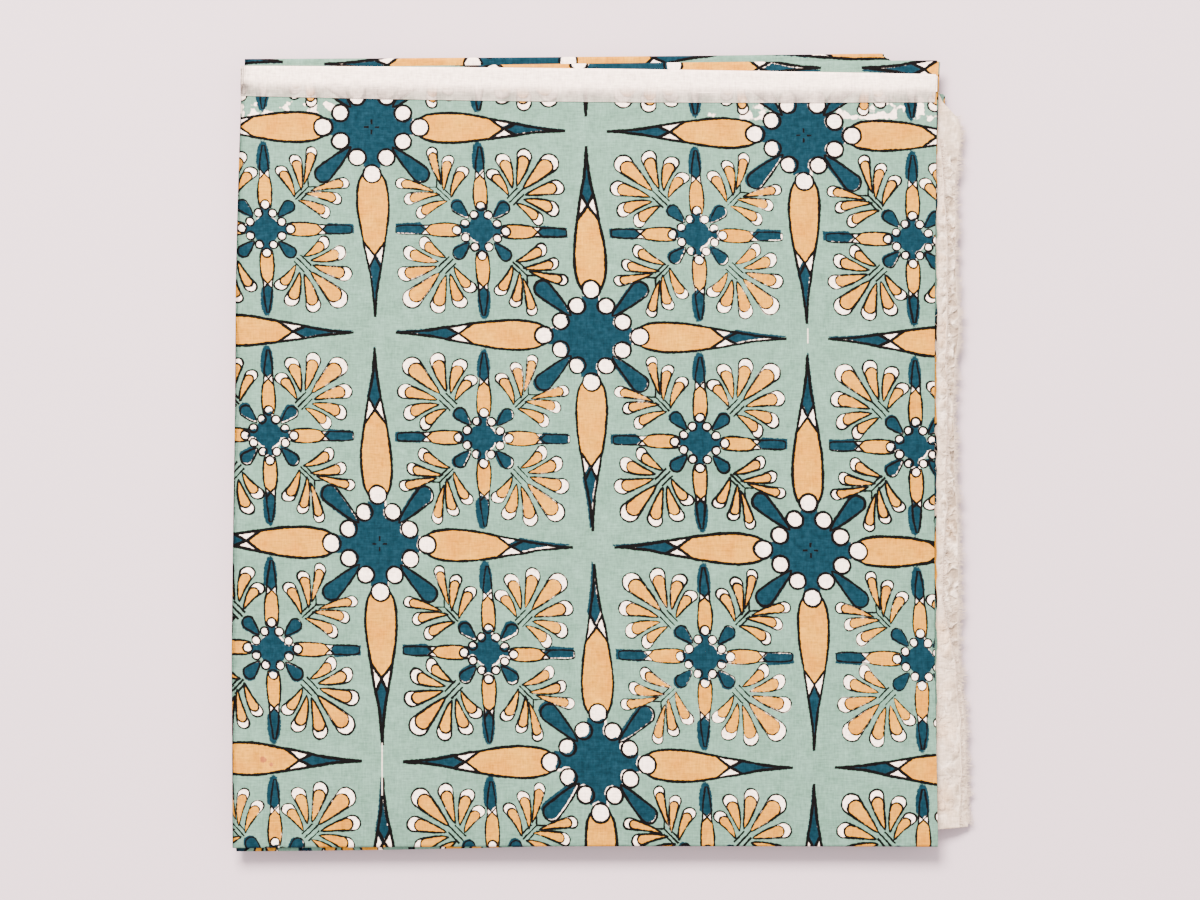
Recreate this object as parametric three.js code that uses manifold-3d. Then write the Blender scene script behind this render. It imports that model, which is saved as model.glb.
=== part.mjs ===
// A length of light block printed cotton, folded back and forth into a flat stack, with its unprinted end turned over
// on top and one unprinted selvedge margin sticking out at the right, edged with a short thread fringe.
//
// Millimetres, +Z up. X runs to the right across the stack and Y away from the near folds, both from the middle of the
// top panel; at the end the whole thing is moved so that the middle of its underside box is the origin.

import * as THREE from 'three';
import { mergeVertices } from 'three/addons/utils/BufferGeometryUtils.js';
import Module from 'manifold-3d';

// Driving dimensions of the stack
const LAYER = 1.1;              // thickness of one layer of the folded stack: four plies of thin cotton
const GAP = 0.32;               // air between two layers at the pressed folds
const LOFT = 0.2;               // extra air between two layers in the middle, where nothing presses them
const FOLD_STEPS = 5;           // straight pieces around each fold
const PANEL_RIGHT = 140;        // right edge of the top panel, where the selvedge margin comes out
const MARGIN_DROOP = 3.6;       // how far the margin sinks at its outer edge
const MARGIN_REACH = 13.5;      // how far it sticks out on average

// The folds, from the free edge of the turned-over end down to the free edge of the lowest layer.
// far says on which side the fold lies. left, middle and right are its outermost Y at the three places across.
// x0 and x1 are where it starts and ends across the stack.
const FOLDS = [
  { name: 'turned_over_edge', far: false, left: 144.7, middle: 142.2, right: 142.1, x0: -138.0, x1: 140.6 },
  { name: 'top_fold', far: true, left: 156.8, middle: 155.7, right: 153.4, x0: -138.2, x1: 141.0 },
  { name: 'front_fold', far: false, left: -156.9, middle: -156.2, right: -156.4, x0: -141.4, x1: 141.3 },
  { name: 'lower_peeking_fold', far: true, left: 155.9, middle: 158.0, right: 159.3, x0: -137.4, x1: 142.3 },
  { name: 'margin_front_fold', far: false, left: -158.5, middle: -156.0, right: -149.8, x0: -140.6, x1: 154.4 },
  { name: 'upper_peeking_fold', far: true, left: 160.1, middle: 160.9, right: 162.3, x0: -137.0, x1: 120.6 },
  { name: 'inner_front_fold', far: false, left: -155.2, middle: -154.6, right: -153.0, x0: -140.0, x1: 138.6 },
  { name: 'corner_fold', far: true, left: 156.0, middle: 154.6, right: 146.2, x0: -137.8, x1: 145.6 },
  { name: 'low_front_fold', far: false, left: -156.4, middle: -155.0, right: -154.2, x0: -140.8, x1: 139.0 },
  { name: 'lowest_edge', far: true, left: 154.0, middle: 155.0, right: 152.0, x0: -137.2, x1: 138.4 },
];

// Where each layer's sides run between its two folds. y is the place, left and right the edges of the layer there.
const PANEL_SIDES = [
  { y: 145, left: -138.2, right: 140.8 },
  { y: 67, left: -140.4, right: 140.0 },
  { y: -9, left: -141.3, right: 139.8 },
  { y: -81, left: -142.0, right: 139.9 },
  { y: -137, left: -141.6, right: 141.0 },
];
const UNDER_SIDES = [
  { y: 145, left: -137.6, right: 141.6 },
  { y: 60, left: -139.6, right: 139.4 },
  { y: -20, left: -140.5, right: 139.0 },
  { y: -100, left: -141.0, right: 139.2 },
  { y: -140, left: -140.8, right: 140.2 },
];
const MARGIN_SIDES = [
  { y: 144, left: -137.4, right: 142.0 },
  { y: 136, left: -137.8, right: 150.0 },
  { y: 130, left: -138.0, right: 151.2 },
  { y: 112, left: -138.6, right: 148.6 },
  { y: 91, left: -139.2, right: 149.0 },
  { y: 67, left: -139.8, right: 149.2 },
  { y: 50, left: -140.2, right: 150.2 },
  { y: 38, left: -140.4, right: 148.8 },
  { y: 22, left: -140.5, right: 148.0 },
  { y: -10, left: -140.7, right: 148.8 },
  { y: -34, left: -140.9, right: 149.8 },
  { y: -58, left: -141.0, right: 150.4 },
  { y: -78, left: -141.0, right: 149.6 },
  { y: -100, left: -140.9, right: 152.2 },
  { y: -130, left: -140.6, right: 153.6 },
];
const LOWER_SIDES = [
  { y: 145, left: -137.2, right: 138.8 },
  { y: 60, left: -139.0, right: 138.0 },
  { y: -20, left: -140.2, right: 138.4 },
  { y: -100, left: -140.6, right: 137.8 },
  { y: -140, left: -140.4, right: 138.4 },
];
const CORNER_SIDES = [
  { y: 140, left: -137.6, right: 144.6 },
  { y: 130, left: -138.0, right: 140.0 },
  { y: 60, left: -139.2, right: 138.2 },
  { y: -20, left: -140.0, right: 138.0 },
  { y: -100, left: -140.4, right: 138.4 },
];

// The layers from the top down: the turned-over end, the top panel and seven more. droops marks the two whose right
// side is the selvedge margin.
const LAYERS = [
  { name: 'turned_over_end', sides: PANEL_SIDES, droops: false },
  { name: 'top_panel', sides: PANEL_SIDES, droops: false },
  { name: 'second', sides: UNDER_SIDES, droops: false },
  { name: 'margin_upper', sides: MARGIN_SIDES, droops: true },
  { name: 'margin_lower', sides: MARGIN_SIDES, droops: true },
  { name: 'fifth', sides: LOWER_SIDES, droops: false },
  { name: 'sixth', sides: LOWER_SIDES, droops: false },
  { name: 'seventh', sides: CORNER_SIDES, droops: false },
  { name: 'lowest', sides: CORNER_SIDES, droops: false },
];
const LOWEST = LAYERS.length - 1;

// Where the sections lie along a layer, closer on the two with the rippled margin, and where the columns lie across
// it as a share of its width there
const STATIONS = [147, 140, 112, 78, 44, 10, -24, -58, -84, -112, -140, -147];
const MARGIN_STATIONS = [147, ...MARGIN_SIDES.map((row) => row.y), -140, -147];
const COLUMNS = [0, 0.04, 0.13, 0.25, 0.38, 0.5, 0.62, 0.74, 0.86, 0.945, 0.963, 0.982, 1];
const CLEAR_OF_FOLD = 2.5;      // a station is moved this far away from a fold

// Soft hollows pressed into the stack: each follows a line from one place to another, as wide and deep as given
const HOLLOWS = [
  { x0: -142, y0: -66, x1: -88, y1: -77, width: 11, depth: 0.8 },
  { x0: -88, y0: -77, x1: -40, y1: -80, width: 10, depth: 0.7 },
  { x0: -40, y0: -8, x1: 20, y1: -12, width: 12, depth: 0.5 },
  { x0: 20, y0: -12, x1: 112, y1: 6, width: 12, depth: 0.6 },
  { x0: 88, y0: 52, x1: 142, y1: 46, width: 14, depth: 0.6 },
  { x0: 92, y0: 88, x1: 142, y1: 84, width: 16, depth: 0.5 },
];
const FOLD_ROLL = 16;           // the loft fades out this far from the folds and the sides
const WAVE = 0.25;              // height of the long waves of the loft

// The fringe
const STRIP_GAP = 0.3;          // the strip's clearance from the margin's edge
const STRIP_WIDTH = 0.7;
const STRIP_HEIGHT = 0.8;
const FRINGE_FAR = 128;         // the fringe runs from here
const FRINGE_NEAR = -147;       // to here
const STRANDS = 180;
const STRAND_LENGTH = 1.9;
const STRAND_WIDTH = 0.5;
const STRAND_SIDES = 3;

// Colours and finish of the cloth and its threads
const CLOTH_FINISH = { color: 0xb8d0c2, roughness: 0.92, metalness: 0 };
const THREAD_FINISH = { color: 0xece4da, roughness: 0.95, metalness: 0 };

const mix = (a, b, t) => a + (b - a) * t;
const clamp01 = (t) => Math.min(1, Math.max(0, t));
const smooth = (t) => clamp01(t) * clamp01(t) * (3 - 2 * clamp01(t));

// The outermost Y of a fold at share u across the stack
function foldReach(fold, u) {
  const left = (1 - u) * (1 - 2 * u) * fold.left;
  const middle = 4 * u * (1 - u) * fold.middle;
  const right = u * (2 * u - 1) * fold.right;
  return left + middle + right;
}

// The left and right edge of a layer at a given Y: its own sides, led over into the folds at its two ends
function layerSides(index, y) {
  const ends = [FOLDS[index], FOLDS[index + 1]];
  const farEnd = ends.find((fold) => fold.far);
  const nearEnd = ends.find((fold) => !fold.far);
  const rows = [
    { y: farEnd.middle, left: farEnd.x0, right: farEnd.x1 },
    ...LAYERS[index].sides.filter((row) => row.y < farEnd.right - CLEAR_OF_FOLD && row.y > nearEnd.right + CLEAR_OF_FOLD),
    { y: nearEnd.middle, left: nearEnd.x0, right: nearEnd.x1 },
  ];
  if (y >= rows[0].y) {
    return { left: rows[0].left, right: rows[0].right };
  }
  for (let i = 1; i < rows.length; i += 1) {
    if (y >= rows[i].y) {
      const t = (rows[i - 1].y - y) / (rows[i - 1].y - rows[i].y);
      return { left: mix(rows[i - 1].left, rows[i].left, t), right: mix(rows[i - 1].right, rows[i].right, t) };
    }
  }
  const last = rows[rows.length - 1];
  return { left: last.left, right: last.right };
}

// How far a place lies from a hollow's line, as a share of the hollow's width
function hollowDepth(hollow, x, y) {
  const dx = hollow.x1 - hollow.x0;
  const dy = hollow.y1 - hollow.y0;
  const t = clamp01(((x - hollow.x0) * dx + (y - hollow.y0) * dy) / (dx * dx + dy * dy));
  const off = Math.hypot(x - hollow.x0 - dx * t, y - hollow.y0 - dy * t) / hollow.width;
  return hollow.depth * Math.exp(-off * off);
}

// How much higher than pressed flat the top of the stack lies at a place
function loft(x, y) {
  const inFromSides = Math.min(PANEL_RIGHT - x, x + PANEL_RIGHT);
  const inFromFolds = Math.min(155 - y, y + 155);
  const full = smooth(inFromSides / FOLD_ROLL) * smooth(inFromFolds / FOLD_ROLL);
  const waves = WAVE * (Math.sin(x / 31 + 1.2) * Math.cos(y / 43) + Math.sin(y / 27 + x / 90));
  const hollows = HOLLOWS.reduce((sum, hollow) => sum + hollowDepth(hollow, x, y), 0);
  return full * (LOFT * (LOWEST - 1) + waves - hollows);
}

// How far the margin has sunk at a place, with the soft ripples of its edge
function marginDroop(x, y) {
  const out = clamp01((x - PANEL_RIGHT) / MARGIN_REACH);
  const ripple = 0.5 * Math.sin(y / 8.3) + 0.35 * Math.sin(y / 5.6 + 1);
  return out * (MARGIN_DROOP * (0.4 + 0.6 * out) + ripple * out);
}

// The height of the middle of a layer at a place
function layerHeight(index, x, y) {
  const below = LOWEST - index;
  const raised = loft(x, y) * (below / LOWEST);
  const sunk = LAYERS[index].droops ? marginDroop(x, y) : 0;
  return LAYER / 2 + below * (LAYER + GAP) + raised - sunk;
}

// The points down the middle of the cloth in the column at share u, from the turned-over edge to the lowest edge
function middleLine(u) {
  const points = [];
  const place = (index, y) => {
    const sides = layerSides(index, y);
    const x = mix(sides.left, sides.right, u);
    points.push({ x, y, z: layerHeight(index, x, y), index });
  };
  for (let index = 0; index < LAYERS.length; index += 1) {
    const start = FOLDS[index];
    const end = FOLDS[index + 1];
    const towardsFar = end.far;
    const radius = (LAYER + GAP) / 2;
    const inside = LAYER / 2 + radius;
    const startReach = foldReach(start, u);
    const endReach = foldReach(end, u);
    const first = index === 0 ? startReach : startReach + (start.far ? -inside : inside);
    const last = index === LOWEST ? endReach : endReach + (end.far ? -inside : inside);
    const low = Math.min(first, last) + CLEAR_OF_FOLD;
    const high = Math.max(first, last) - CLEAR_OF_FOLD;
    const stations = LAYERS[index].droops ? MARGIN_STATIONS : STATIONS;
    const kept = stations.map((y) => Math.min(high, Math.max(low, y)));
    const spread = index === 0 ? [mix(high, low, 1 / 3), mix(high, low, 2 / 3)] : kept;
    const between = towardsFar ? [...spread].reverse() : spread;
    place(index, first);
    between.forEach((y) => place(index, y));
    place(index, last);
    if (index < LOWEST) {
      const sides = layerSides(index, last);
      const x = mix(sides.left, sides.right, u);
      const upper = layerHeight(index, x, last);
      const lower = layerHeight(index + 1, x, last);
      for (let step = 1; step < FOLD_STEPS; step += 1) {
        const angle = (Math.PI * step) / FOLD_STEPS;
        const out = radius * Math.sin(angle) * (end.far ? 1 : -1);
        points.push({ x, y: last + out, z: mix(upper, lower, (1 - Math.cos(angle)) / 2) });
      }
    }
  }
  return points;
}

// Points half a layer to one side of a column's middle line
function offsetLine(points, distance) {
  return points.map((point, i) => {
    const before = points[Math.max(0, i - 1)];
    const after = points[Math.min(points.length - 1, i + 1)];
    const inward = new THREE.Vector2(point.y - before.y, point.z - before.z);
    const onward = new THREE.Vector2(after.y - point.y, after.z - point.z);
    if (i === 0) inward.copy(onward);
    if (i === points.length - 1) onward.copy(inward);
    inward.normalize();
    onward.normalize();
    const along = inward.clone().add(onward).normalize();
    const stretch = Math.min(1.2, 1 / Math.max(0.2, along.dot(onward)));
    return { x: point.x, y: point.y - along.y * distance * stretch, z: point.z + along.x * distance * stretch };
  });
}

function meshFromFaces(vertices, faces) {
  const geometry = new THREE.BufferGeometry();
  geometry.setAttribute('position', new THREE.Float32BufferAttribute(vertices, 3));
  geometry.setIndex(faces);
  return geometry;
}

// The whole cloth as one closed skin: the two sides of every column's line, joined from column to column. Each face
// between two columns is cut across the same way in space, so that layers lying on each other have like facets.
function foldedCloth() {
  const columns = COLUMNS.map((u) => {
    const middle = middleLine(u);
    return { one: offsetLine(middle, LAYER / 2), other: offsetLine(middle, -LAYER / 2) };
  });
  const count = columns[0].one.length;
  const ring = 2 * count;
  const vertices = [];
  columns.forEach(({ one, other }) => {
    [...one, ...other.reverse()].forEach((p) => vertices.push(p.x, p.y, p.z));
  });
  const faces = [];
  for (let c = 0; c + 1 < columns.length; c += 1) {
    for (let i = 0; i < ring; i += 1) {
      const a = c * ring + i;
      const b = c * ring + ((i + 1) % ring);
      const towardsFar = vertices[3 * b + 1] > vertices[3 * a + 1];
      if (towardsFar) faces.push(a, a + ring, b + ring, a, b + ring, b);
      else faces.push(a, a + ring, b, a + ring, b + ring, b);
    }
  }
  const end = (columns.length - 1) * ring;
  for (let i = 0; i + 1 < count; i += 1) {
    const j = ring - 1 - i;
    faces.push(i, i + 1, j - 1, i, j - 1, j);
    faces.push(end + i, end + j - 1, end + i + 1, end + i, end + j, end + j - 1);
  }
  return outwardFacing(meshFromFaces(vertices, faces));
}

// Turns every face over if the closed skin is inside out
function outwardFacing(geometry) {
  const p = geometry.getAttribute('position');
  const index = geometry.getIndex().array;
  const [a, b, c] = [new THREE.Vector3(), new THREE.Vector3(), new THREE.Vector3()];
  let volume = 0;
  for (let i = 0; i < index.length; i += 3) {
    a.fromBufferAttribute(p, index[i]);
    b.fromBufferAttribute(p, index[i + 1]);
    c.fromBufferAttribute(p, index[i + 2]);
    volume += a.dot(b.cross(c));
  }
  if (volume < 0) {
    for (let i = 0; i < index.length; i += 3) {
      [index[i + 1], index[i + 2]] = [index[i + 2], index[i + 1]];
    }
  }
  return geometry;
}

// The outer edge of the upper margin, from its far end to its near end
const MARGIN_LINE = middleLine(1).filter((point) => LAYERS[point.index]?.name === 'margin_upper');

// A place on that edge, pushed out by a distance
function marginEdge(y, distance) {
  const next = MARGIN_LINE.findIndex((point) => point.y <= y);
  const far = MARGIN_LINE[next - 1];
  const near = MARGIN_LINE[next];
  const t = (far.y - y) / (far.y - near.y);
  return new THREE.Vector3(mix(far.x, near.x, t) + distance, y, mix(far.z, near.z, t));
}

// The narrow strip that holds the threads' roots, following the margin's edge
function fringeStrip() {
  const vertices = [];
  const inner = MARGIN_LINE.map((point) => point.y).filter((y) => y < FRINGE_FAR - 1 && y > FRINGE_NEAR + 1);
  const steps = [FRINGE_FAR, ...inner, FRINGE_NEAR];
  steps.forEach((y) => {
    const at = marginEdge(y, STRIP_GAP);
    vertices.push(at.x, at.y, at.z - STRIP_HEIGHT / 2, at.x + STRIP_WIDTH, at.y, at.z - STRIP_HEIGHT / 2);
    vertices.push(at.x + STRIP_WIDTH, at.y, at.z + STRIP_HEIGHT / 2, at.x, at.y, at.z + STRIP_HEIGHT / 2);
  });
  const faces = [0, 1, 2, 0, 2, 3];
  for (let i = 0; i + 1 < steps.length; i += 1) {
    for (let k = 0; k < 4; k += 1) {
      const a = 4 * i + k;
      const b = 4 * i + ((k + 1) % 4);
      faces.push(a, a + 4, b + 4, a, b + 4, b);
    }
  }
  const last = 4 * (steps.length - 1);
  faces.push(last, last + 2, last + 1, last, last + 3, last + 2);
  return outwardFacing(meshFromFaces(vertices, faces));
}

// One thread of the fringe: a tapered rod with a slight lean, its root inside the strip
function fringeStrand(i) {
  const y = mix(FRINGE_FAR - 1, FRINGE_NEAR + 1, i / (STRANDS - 1));
  const root = marginEdge(y, STRIP_GAP + STRIP_WIDTH / 2);
  const lean = 0.5 * Math.sin(i * 2.4) + 0.3 * Math.sin(i * 0.37);
  const length = STRAND_LENGTH * (0.85 + 0.3 * Math.abs(Math.sin(i * 1.7)));
  const rod = new THREE.CylinderGeometry(STRAND_WIDTH * 0.22, STRAND_WIDTH / 2, length, STRAND_SIDES);
  rod.translate(0, length / 2, 0);
  const heading = new THREE.Vector3(1, lean, -0.25 + 0.15 * Math.sin(i * 0.9)).normalize();
  rod.applyQuaternion(new THREE.Quaternion().setFromUnitVectors(new THREE.Vector3(0, 1, 0), heading));
  rod.translate(root.x, root.y, root.z);
  return rod;
}

const wasm = await Module();
wasm.setup();

// A closed geometry as a solid that can be joined with others
function toSolid(geometry) {
  geometry.deleteAttribute('normal');
  geometry.deleteAttribute('uv');
  const merged = mergeVertices(geometry, 1e-5);
  return new wasm.Manifold(new wasm.Mesh({
    numProp: 3,
    vertProperties: new Float32Array(merged.getAttribute('position').array),
    triVerts: new Uint32Array(merged.getIndex().array),
  }));
}

function selvedgeFringe() {
  let fringe = toSolid(fringeStrip());
  for (let i = 0; i < STRANDS; i += 1) {
    fringe = fringe.add(toSolid(fringeStrand(i)));
  }
  const joined = fringe.getMesh();
  return meshFromFaces(Array.from(joined.vertProperties), Array.from(joined.triVerts));
}

function named(name, geometry, finish) {
  const mesh = new THREE.Mesh(geometry, new THREE.MeshStandardMaterial(finish));
  mesh.name = name;
  return mesh;
}

const stack = new THREE.Group();
stack.add(named('folded_cloth', foldedCloth(), CLOTH_FINISH));
stack.add(named('selvedge_fringe', selvedgeFringe(), THREAD_FINISH));

// The middle of the underside of the whole stack is the origin
const box = new THREE.Box3().setFromObject(stack);
const middle = box.getCenter(new THREE.Vector3());
stack.position.set(-middle.x, -middle.y, -box.min.z);

export default stack;
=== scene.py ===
# %% [markdown]
# # A folded length of block printed cotton
#
# The real thing is about two and a half metres of thin cotton, printed by hand with carved wooden blocks.
# It is folded lengthwise into four plies, and then back and forth into a flat stack. Its unprinted end is
# turned over on top at the far side, and the unprinted selvedge of two layers sticks out at the right.
#
# The solid model already gives the stack's size and folds. This lesson lays a thin sheet of cloth along the
# same folds, ply by ply, prints it with a pattern made from simple shapes, and lights it for a photograph
# from above.

# %% The frame
import math
from collections import namedtuple

import bpy
import numpy as np
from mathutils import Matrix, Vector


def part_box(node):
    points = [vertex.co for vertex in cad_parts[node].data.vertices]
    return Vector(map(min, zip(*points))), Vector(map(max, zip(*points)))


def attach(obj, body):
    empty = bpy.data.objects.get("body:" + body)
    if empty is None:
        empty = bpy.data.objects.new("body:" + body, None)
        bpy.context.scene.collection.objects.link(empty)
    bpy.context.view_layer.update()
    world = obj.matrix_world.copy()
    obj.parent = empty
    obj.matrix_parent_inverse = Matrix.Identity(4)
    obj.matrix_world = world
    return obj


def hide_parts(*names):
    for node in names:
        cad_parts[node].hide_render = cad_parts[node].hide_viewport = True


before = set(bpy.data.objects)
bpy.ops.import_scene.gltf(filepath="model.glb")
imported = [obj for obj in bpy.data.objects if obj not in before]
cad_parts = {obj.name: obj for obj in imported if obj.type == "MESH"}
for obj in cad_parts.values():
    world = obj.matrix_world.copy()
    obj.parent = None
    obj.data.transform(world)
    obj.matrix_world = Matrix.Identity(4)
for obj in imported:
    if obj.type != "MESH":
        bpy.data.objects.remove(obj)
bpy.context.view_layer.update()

MM = 0.001
low_corner, high_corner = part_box("folded_cloth")
print("the solid cloth spans", [round(v / MM, 1) for v in high_corner - low_corner], "mm")

# %% [markdown]
# ## Where the cloth folds
#
# The stack is read from the photograph like a landscape: which fold peeps out behind which. Every fold is a
# line across the stack that bows a little, so three places along it are enough: its Y at the left, in the
# middle and at the right. It also has an X where it starts and one where it ends. All are in millimetres
# from the middle of the top panel.

# %% The folds
Fold = namedtuple("Fold", "far left middle right starts ends")
FOLDS = [
    Fold(far=False, left=144.7, middle=142.2, right=142.1, starts=-138.0, ends=140.6),
    Fold(far=True, left=156.8, middle=155.7, right=153.4, starts=-138.2, ends=141.0),
    Fold(far=False, left=-156.9, middle=-156.2, right=-156.4, starts=-141.4, ends=141.3),
    Fold(far=True, left=155.9, middle=158.0, right=159.3, starts=-137.4, ends=142.3),
    Fold(far=False, left=-158.5, middle=-156.0, right=-149.8, starts=-140.6, ends=154.4),
    Fold(far=True, left=160.1, middle=160.9, right=162.3, starts=-137.0, ends=120.6),
    Fold(far=False, left=-155.2, middle=-154.6, right=-153.0, starts=-140.0, ends=138.6),
    Fold(far=True, left=156.0, middle=154.6, right=146.2, starts=-137.8, ends=145.6),
    Fold(far=False, left=-156.4, middle=-155.0, right=-154.2, starts=-140.8, ends=139.0),
    Fold(far=True, left=154.0, middle=155.0, right=152.0, starts=-137.2, ends=138.4),
]


def fold_reach(fold, share):
    """The outermost Y of a fold at a share of the way across."""
    left = (1 - share) * (1 - 2 * share) * fold.left
    right = share * (2 * share - 1) * fold.right
    return left + 4 * share * (1 - share) * fold.middle + right


print(len(FOLDS), "folds and edges, the first one the turned-over end's")

# %% [markdown]
# ## The sides of the layers
#
# Seen from above, the layers don't lie exactly over each other, and two of them reach out at the right with
# the unprinted margin. The sides of each kind of layer are given as a few places down the stack, and one
# list says which kind each layer is, from the turned-over end on top down to the lowest.

# %% The sides of the layers
Side = namedtuple("Side", "y left right")
PANEL = [
    Side(y=145, left=-138.2, right=140.8),
    Side(y=67, left=-140.4, right=140.0),
    Side(y=-9, left=-141.3, right=139.8),
    Side(y=-81, left=-142.0, right=139.9),
    Side(y=-137, left=-141.6, right=141.0),
]
UNDER = [
    Side(y=145, left=-137.6, right=141.6),
    Side(y=60, left=-139.6, right=139.4),
    Side(y=-20, left=-140.5, right=139.0),
    Side(y=-100, left=-141.0, right=139.2),
    Side(y=-140, left=-140.8, right=140.2),
]
MARGIN = [
    Side(y=144, left=-137.4, right=142.0),
    Side(y=136, left=-137.8, right=150.0),
    Side(y=130, left=-138.0, right=151.2),
    Side(y=112, left=-138.6, right=148.6),
    Side(y=91, left=-139.2, right=149.0),
    Side(y=67, left=-139.8, right=149.2),
    Side(y=50, left=-140.2, right=150.2),
    Side(y=38, left=-140.4, right=148.8),
    Side(y=22, left=-140.5, right=148.0),
    Side(y=-10, left=-140.7, right=148.8),
    Side(y=-34, left=-140.9, right=149.8),
    Side(y=-58, left=-141.0, right=150.4),
    Side(y=-78, left=-141.0, right=149.6),
    Side(y=-100, left=-140.9, right=152.2),
    Side(y=-130, left=-140.6, right=153.6),
]
LOWER = [
    Side(y=145, left=-137.2, right=138.8),
    Side(y=60, left=-139.0, right=138.0),
    Side(y=-20, left=-140.2, right=138.4),
    Side(y=-100, left=-140.6, right=137.8),
    Side(y=-140, left=-140.4, right=138.4),
]
CORNER = [
    Side(y=140, left=-137.6, right=144.6),
    Side(y=130, left=-138.0, right=140.0),
    Side(y=60, left=-139.2, right=138.2),
    Side(y=-20, left=-140.0, right=138.0),
    Side(y=-100, left=-140.4, right=138.4),
]
LAYER_SIDES = [PANEL, PANEL, UNDER, MARGIN, MARGIN, LOWER, LOWER, CORNER, CORNER]
LAYERS = len(LAYER_SIDES)
FLAP = 0
TOP_PANEL = 1
UPPER_MARGIN = 3
LOWER_MARGIN = 4
MARGIN_LAYERS = (UPPER_MARGIN, LOWER_MARGIN)
LOWEST = LAYERS - 1
CLEAR_OF_FOLD = 2.5


def layer_edge(layer, y, which):
    """The left or right edge of a layer at each Y, led over into the folds at its two ends."""
    ends = FOLDS[layer:layer + 2]
    far = next(fold for fold in ends if fold.far)
    near = next(fold for fold in ends if not fold.far)
    rows = [(far.middle, far.starts if which == "left" else far.ends)]
    for side in LAYER_SIDES[layer]:
        if near.right + CLEAR_OF_FOLD < side.y < far.right - CLEAR_OF_FOLD:
            rows.append((side.y, getattr(side, which)))
    rows.append((near.middle, near.starts if which == "left" else near.ends))
    rows.reverse()
    return np.interp(y, [row[0] for row in rows], [row[1] for row in rows])


print(LAYERS, "layers between", len(FOLDS), "folds and edges")

# %% [markdown]
# ## How high each layer lies
#
# Pressed cloth is never quite flat. Between the folds the layers are a little apart, long soft waves run
# through the stack, and a few hollows have been pressed in by hand. A hollow is a line with a soft dip
# along it. The same few numbers as in the solid place them all.

# %% Hollows in the stack
Hollow = namedtuple("Hollow", "x0 y0 x1 y1 width depth")
HOLLOWS = [
    Hollow(x0=-142, y0=-66, x1=-88, y1=-77, width=11, depth=0.8),
    Hollow(x0=-88, y0=-77, x1=-40, y1=-80, width=10, depth=0.7),
    Hollow(x0=-40, y0=-8, x1=20, y1=-12, width=12, depth=0.5),
    Hollow(x0=20, y0=-12, x1=112, y1=6, width=12, depth=0.6),
    Hollow(x0=88, y0=52, x1=142, y1=46, width=14, depth=0.6),
    Hollow(x0=92, y0=88, x1=142, y1=84, width=16, depth=0.5),
]


def hollow_depth(hollow, x, y, wider):
    """How deep a hollow is at each place. Under the top ply it is spread wider."""
    dx = hollow.x1 - hollow.x0
    dy = hollow.y1 - hollow.y0
    t = np.clip(((x - hollow.x0) * dx + (y - hollow.y0) * dy) / (dx * dx + dy * dy), 0, 1)
    off = np.hypot(x - hollow.x0 - dx * t, y - hollow.y0 - dy * t) / (hollow.width * wider)
    return hollow.depth * np.exp(-off * off)


print(len(HOLLOWS), "hollows, the deepest", max(hollow.depth for hollow in HOLLOWS), "mm")

# %% [markdown]
# The height of a layer is then a sum: the layers below it, the air between them, its share of the waves and
# hollows, and for the margin how far it has sunk towards the table.

# %% Heights
LAYER = 1.1
GAP = 0.32
LOFT = 0.2
WAVE = 0.25
FOLD_ROLL = 16
PANEL_RIGHT = 140
PANEL_FAR = 155
MARGIN_DROOP = 3.6
MARGIN_REACH = 13.5


def ease(t):
    """0 below 0, 1 above 1, and a soft start and stop between them."""
    t = np.clip(t, 0, 1)
    return t * t * (3 - 2 * t)


def loft(x, y, share_of_hollows, wider):
    """How much higher than pressed flat the top of the stack lies."""
    in_from_sides = np.minimum(PANEL_RIGHT - x, x + PANEL_RIGHT)
    in_from_folds = np.minimum(PANEL_FAR - y, y + PANEL_FAR)
    full = ease(in_from_sides / FOLD_ROLL) * ease(in_from_folds / FOLD_ROLL)
    cushions = np.sin(x / 31 + 1.2) * np.cos(y / 43)
    slanting = np.sin(y / 27 + x / 90)
    waves = WAVE * (cushions + slanting)
    deepest = sum(hollow_depth(hollow, x, y, wider) ** 4 for hollow in HOLLOWS) ** 0.25
    return full * (LOFT * (LOWEST - 1) + waves - deepest * share_of_hollows)


def margin_droop(x, y):
    """How far the margin has sunk, with the ripples of its edge."""
    outward = np.clip((x - PANEL_RIGHT) / MARGIN_REACH, 0, 1)
    rippled = 0.5 * np.sin(y / 8.3) + 0.35 * np.sin(y / 5.6 + 1)
    return outward * (MARGIN_DROOP * (0.4 + 0.6 * outward) + rippled * outward)


def layer_height(layer, x, y, share_of_hollows=1.0, wider=1.0):
    """The height of the middle of a layer."""
    below = LOWEST - layer
    sunk = margin_droop(x, y) if layer in MARGIN_LAYERS else 0
    lofted = loft(x, y, share_of_hollows, wider) * below / LOWEST
    return LAYER / 2 + below * (LAYER + GAP) + lofted - sunk


print("the top panel's middle lies", round(float(layer_height(TOP_PANEL, 0.0, 0.0)), 2), "mm up")

# %% [markdown]
# ## The four plies
#
# Before it was folded back and forth, the cloth was folded in quarters lengthwise. Going across the cloth
# from one selvedge to the other, it runs from right to left as the third ply, back to the right as the
# second, round the right-hand fold, to the left as the first ply, round the left-hand fold, and to the
# right again as the fourth. The first ply is the top face of the top panel; at the next fold the stack
# turns over, and the fourth comes up.
#
# One grid of points can follow all of that: its columns run along the cloth, and a list says for every
# column on which ply it lies, how far across, and how far from the middle of the layer.

# %% Kinds of columns
Column = namedtuple("Column", "ply share lift out")
OUTER_PLY = 0.42
INNER_PLY = 0.14
INNER_FOLD_IN = 0.3           # the inner plies' fold lies this much further in than the outer one's
MARGIN_SHARE = 0.955          # past this share of the way across, the columns stand closer together

columns = []


def add_ply(ply, shares, lift):
    for share in shares:
        columns.append(Column(ply, share, lift, 0.0))


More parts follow.
